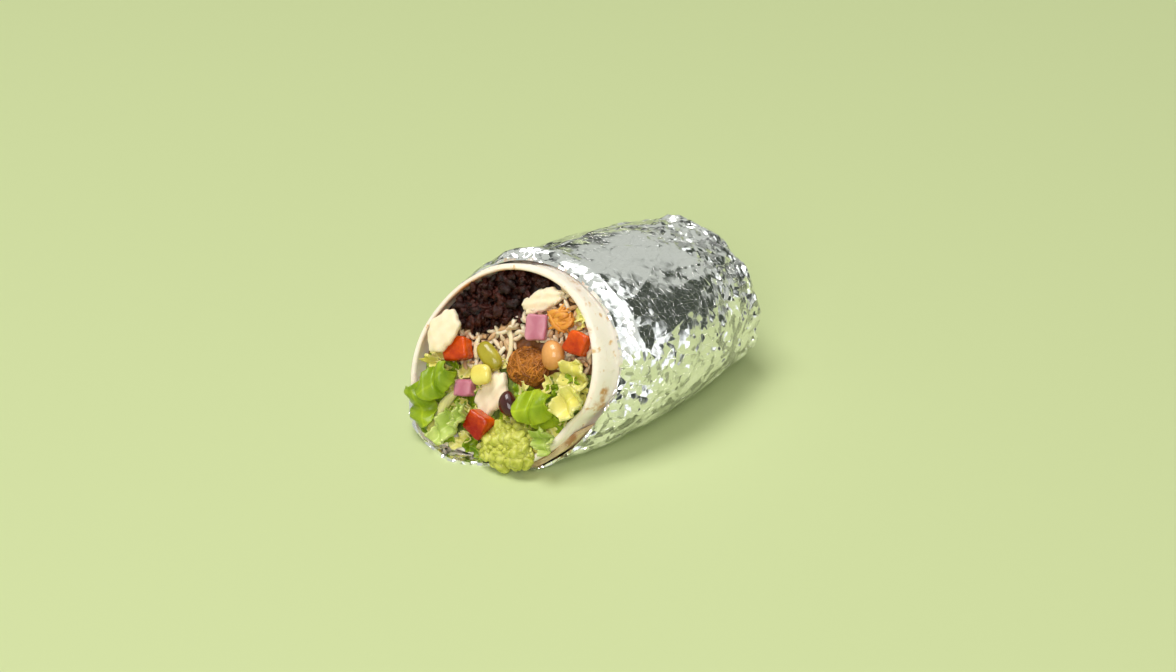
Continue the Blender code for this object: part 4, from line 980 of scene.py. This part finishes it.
tomato_finish = food_finish(
    "tomato_flesh", (0.32, 0.010, 0.001), (1.0, 0.15, 0.003), 0.2, scale=240, contrast=3, tone_share=0.6,
    bump_mm=0.6, soft=(0.25, (0.003, 0.0008, 0.0004)), Coat_Weight=0.15,
)
for name, size, seed, shade, turns in (
    ("tomato_left", (12, 9.5, 7), 1, 0.5, {"roll": 24, "tilt": -12}),
    ("tomato_right", (8.8, 9.6, 6.5), 2, 0.6, {"roll": -8}),
    ("tomato_low", (9.5, 10, 7), 6, 0.1, {"roll": -18}),
):
    points, faces, places = cube_shape(size, seed)
    # Painted light and shade: each cube's upper and right faces are painted lighter and its front faces
    # darker by tone.
    tones = shade + 0.5 * places[:, 1] ** 3 + 0.2 * places[:, 0] ** 3 - 0.3 * places[:, 2] ** 3
    new_piece(name + "_cube", tomato_finish, "tomato", [name], rest_at(points, name, **turns), faces, tones)

onion_finish = food_finish(
    "onion_flesh", (0.34, 0.03, 0.10), (0.82, 0.44, 0.52), 0.3, scale=120, contrast=1.2, tone_share=0.75,
    bump_mm=0.1, soft=(0.4, (0.003, 0.002, 0.002)),
)
for name, size, seed, turns in (
    ("onion_top", (8.5, 10.5, 6), 4, {"roll": 12, "turn": 14}),
    ("onion_left", (8, 7, 6), 7, {"roll": 10}),
):
    points, faces, places = cube_shape(size, seed, chip=0.6)
    layers = np.abs(np.sin(3.2 * places[:, 0] + 0.8 * places[:, 1] ** 2))
    tones = 0.25 + 0.75 * np.abs(places[:, 0]) ** 2 * layers
    new_piece(name + "_cube", onion_finish, "onion", [name], rest_at(points, name, **turns), faces, tones)


# The cream. Three spoonfuls of thick, pale sauce dropped on the filling; each keeps its smooth dome
# and has a ragged edge where it has spread.

def dollop_shape(width, height, thick, seed, lobes, around=72, rows=22):
    """A smooth spoonful: a wobbly outline, domed in front and flat behind."""
    rng = np.random.default_rng(seed)
    phi = np.linspace(0, 2 * pi, around, endpoint=False)[None, :]
    wobble = sum(rng.uniform(-1, 1) * np.cos(n * phi + rng.uniform(0, 6)) / n for n in (2, 3, 4))
    lat = np.linspace(-0.25, 1, rows)[:, None] * pi / 2 * 0.985
    ragged = 0.038 * np.sin(5 * phi + 1.7 * seed) + 0.034 * np.sin(8 * phi + seed)
    ragged = ragged + 0.024 * np.sin(13 * phi + 2 * seed)
    r = (1 + lobes * wobble + ragged) * np.cos(lat) ** 0.5
    x, y = r * np.cos(phi), r * np.sin(phi)
    high = np.where(lat < 0, 0.25 + 0.6 * np.sin(lat), 0.25 + 0.62 * np.sin(np.maximum(lat, 0)) ** 0.5)
    swirl = 0.09 * np.sin(6 * r * np.cos(phi - 0.6) + seed) * np.cos(4 * y + seed)
    swirl = swirl + 0.04 * np.sin(13 * r * np.cos(phi + 0.8) + 4 * y)
    high = high + swirl * smoothstep(0, 0.5, lat)
    return tube(np.stack([x * width / 2, y * height / 2, high * thick], -1))


cream_finish = food_finish(
    "cream_sauce", (0.98, 0.76, 0.53), (1.0, 0.855, 0.68), 0.42, scale=130, bump_mm=0.5,
    soft=(0.35, (0.004, 0.003, 0.0018)),
)
for name, size, seed, lobes, roll in (
    ("cream_left", (12.5, 19, 3.4), 3, 0.12, -14),
    ("cream_top", (19.5, 8.5, 3.6), 8, 0.25, 36),
    ("cream_middle", (12, 20, 4.5), 5, 0.18, -8),
):
    points, faces = dollop_shape(*size, seed, lobes)
    new_piece(name + "_sauce", cream_finish, "cream", [name], rest_at(points, name, roll=roll), faces)


# The beans, the pepper and the corn. A glossy tan bean and a dark one, cooked whole, an olive slice of
# pepper and one kernel of corn, each lying loose on the front.

for name, shape, blunt, roll, slot, deep, pale, gloss, blotch in (
    ("pinto_bean", (12, 9.8, 8, 0.8), 2.0, 105, "pinto", (0.52, 0.16, 0.03), (0.92, 0.48, 0.16), 0.12, 110),
    ("black_bean", (11, 8, 7, 1.2), 2.0, -50, "black_bean",
     (0.022, 0.004, 0.004), (0.10, 0.018, 0.014), 0.10, 150),
    ("pepper_slice", (13.5, 8, 6, 0), 2.6, -34, "pepper",
     (0.24, 0.20, 0.004), (0.54, 0.46, 0.04), 0.22, 90),
    ("corn_kernel", (9.2, 8.4, 4.5, 0), 2.8, 20, "corn", (0.74, 0.56, 0.06), (0.98, 0.90, 0.26), 0.3, 130),
):
    points, faces = bean_shape(*shape, around=56, along=40, blunt=blunt)
    ridge = np.cos(np.arctan2(points[:, 2] / shape[2], points[:, 1] / shape[1]) * 3)
    finish = food_finish(
        name + "_skin", deep, pale, gloss, scale=blotch, contrast=2.2, tone_share=0.35, bump_mm=0.12,
        Coat_Weight=0.5,
    )
    placed = rest_at(points, name, roll=roll)
    new_piece(name + "_whole", finish, slot, [name], placed, faces, 0.5 + 0.4 * ridge)


# The cheese shreds. Three short shreds of grated white cheese, a little bowed, lying loose among the
# rice and the meat.

cheese_finish = food_finish(
    "cheese_shred", (0.80, 0.60, 0.34), (0.96, 0.86, 0.64), 0.4, scale=140, contrast=1.6, bump_mm=0.12,
    soft=(0.3, (0.003, 0.002, 0.001)),
)
for name, length, roll, sag in (
    ("cheese_shred_1", 13, -80, 1.6), ("cheese_shred_2", 9, -84, -0.6), ("cheese_shred_3", 9.5, -66, 0.5),
):
    points, faces = strand_shape(bow(length, sag, rise=0.5, steps=24), 1.05, around=16, flat=0.8, taper=0.8)
    new_piece(name + "_strip", cheese_finish, "cheese", [name], rest_at(points, name, roll=roll), faces)


# The larger lettuce. Two bright leaves folded out over the rim at the left, one behind the guacamole,
# a curled tip, and crumpled pale pieces from the heart of the head.

for name, length, width, bend, fold, ruffle, phase, swell, roll, lighter in (
    ("leaf_middle", 15.5, 14, 1.6, -3.4, 1.9, 1, 1.6, -62, 0.42),
    ("leaf_curl", 12, 6.5, 2, -2.4, 0.9, 2, 0.6, -60, 0.4),
    ("leaf_left_upper", 17, 13, 1.6, -3.0, 1.5, 0, 1.5, -35, 0.1),
    ("leaf_left_lower", 18, 12, 2, -3.2, 1.6, 0, 1.5, 40, 0.2),
):
    points, quads, tone = leaf_shape(length, width, bend, fold, ruffle, 1.6, 0.7, phase, 0.01, swell)
    placed = rest_at(points, name, roll=roll)
    new_piece(name + "_blade", green_leaf, "leaf", [name], placed, [quads], tone + lighter)
for name, length, width, roll, phase, finish in (
    ("chunk_right_upper", 14, 12, 20, 30.6, pale_leaf),
    ("chunk_right_middle", 13, 11, -20, 32.6, pale_leaf),
    ("chunk_right_lower", 10, 8, 40, 29.2, light_leaf),
    ("chunk_low_left", 15, 9.5, -22, -15.5, light_leaf),
    ("chunk_low_middle", 10, 4.5, -10, -8.6, light_leaf),
    ("leaf_rib_left", 11, 4.5, 80, -27.5, pale_leaf),
):
    points, quads, tone = leaf_shape(length, width, 2.5, 2.6, 1.7, 1.8, 1.2, phase, 0.012, 1.6)
    new_piece(name + "_blade", finish, "pale_leaf", [name], rest_at(points, name, roll=roll), [quads], tone)
points, faces = strand_shape(bow(16, 1.5, rise=0.6, steps=30), 2.2, around=28)
placed, tones = rest_at(points, "rib_low_left", roll=70), np.full(len(points), 0.8)
new_piece("rib_low_left_stalk", pale_leaf, "pale_leaf", ["rib_low_left"], placed, faces, tones)


# The surface the burrito lies on, the soft boxes over it, the room that the foil mirrors and the
# camera.

CAMERA_AZIMUTH, CAMERA_ELEVATION = radians(44.5), radians(30.0)
CAMERA_TARGET = Vector(((9.7, 39.5, 38.2) + FOOTPRINT_SHIFT) * MM)
CAMERA_DISTANCE, CAMERA_LENS = 0.85, 63.73
LIGHT_AIM = (0, 0, 0.03)

bpy.ops.mesh.primitive_plane_add(size=12, location=(0, 0, 0))
floor = bpy.context.object
floor.name = "floor"
floor.data.materials.append(new_material("floor_finish", (0.60, 0.69, 0.37), 0.6)[0])

world = bpy.data.worlds.new("studio")
bpy.context.scene.world = world
world.use_nodes = True
air = world.node_tree
air.nodes["Background"].inputs["Strength"].default_value = 1.0
direction = add_node(air, "TexCoord")["Generated"]


def toward(azimuth, elevation, start, full):
    """0 to 1: how near a direction lies to one of the room's panels."""
    turn = radians(azimuth)
    axis = Vector((np.cos(turn), np.sin(turn), tan(radians(elevation)))).normalized()
    nearness = add_node(air, "VectorMath", {0: direction, 1: axis}, operation="DOT_PRODUCT")["Value"]
    limits = {"Value": nearness, "From Min": np.cos(radians(start)), "From Max": np.cos(radians(full))}
    return add_node(air, "MapRange", limits, interpolation_type="SMOOTHSTEP")["Result"]


def over(below, colour, share):
    """One colour of the room laid over the others by a share."""
    colours = {"Factor": share, "A": below, "B": (*colour, 1)}
    return add_node(air, "Mix", colours, data_type="RGBA")["Result"]


room = over((0.56, 0.59, 0.53, 1), (0.05, 0.06, 0.045), toward(52, 33, 42, 22))
room = over(room, (1.12, 1.17, 1.15), toward(2, 18, 37, 13))
room = over(room, (1.4, 1.46, 1.42), toward(20, 84, 30, 14))
room = over(room, (0.03, 0.035, 0.03), toward(150, 10, 22, 10))
room = over(room, (0.15, 0.17, 0.075), add_node(air, "LightPath")["Is Diffuse Ray"])
air.links.new(room, air.nodes["Background"].inputs["Color"])


def soft_light(name, place, size, power, colour):
    """A square soft box at a place, turned to face the burrito."""
    lamp = bpy.data.lights.new(name, "AREA")
    lamp.size, lamp.energy, lamp.color = size, power, colour
    obj = bpy.data.objects.new(name, lamp)
    bpy.context.scene.collection.objects.link(obj)
    obj.location = place
    obj.rotation_euler = (Vector(LIGHT_AIM) - Vector(place)).to_track_quat("-Z", "Y").to_euler()


soft_light("key", (-0.4, -0.8, 3.35), 1.8, 86, (1.0, 0.965, 0.945))
soft_light("fill", (1.5, -2.2, 1.8), 1.6, 43, (1.0, 0.95, 0.93))

camera = bpy.data.objects.new("camera", bpy.data.cameras.new("camera"))
bpy.context.scene.collection.objects.link(camera)
back = Vector((
    np.sin(CAMERA_AZIMUTH) * np.cos(CAMERA_ELEVATION),
    -np.cos(CAMERA_AZIMUTH) * np.cos(CAMERA_ELEVATION),
    np.sin(CAMERA_ELEVATION),
))
camera.location = CAMERA_TARGET + back * CAMERA_DISTANCE
camera.rotation_euler = (-back).to_track_quat("-Z", "Y").to_euler()
camera.data.lens = CAMERA_LENS
camera.data.sensor_width = 36
bpy.context.scene.camera = camera
bpy.context.scene.view_settings.view_transform = "Standard"
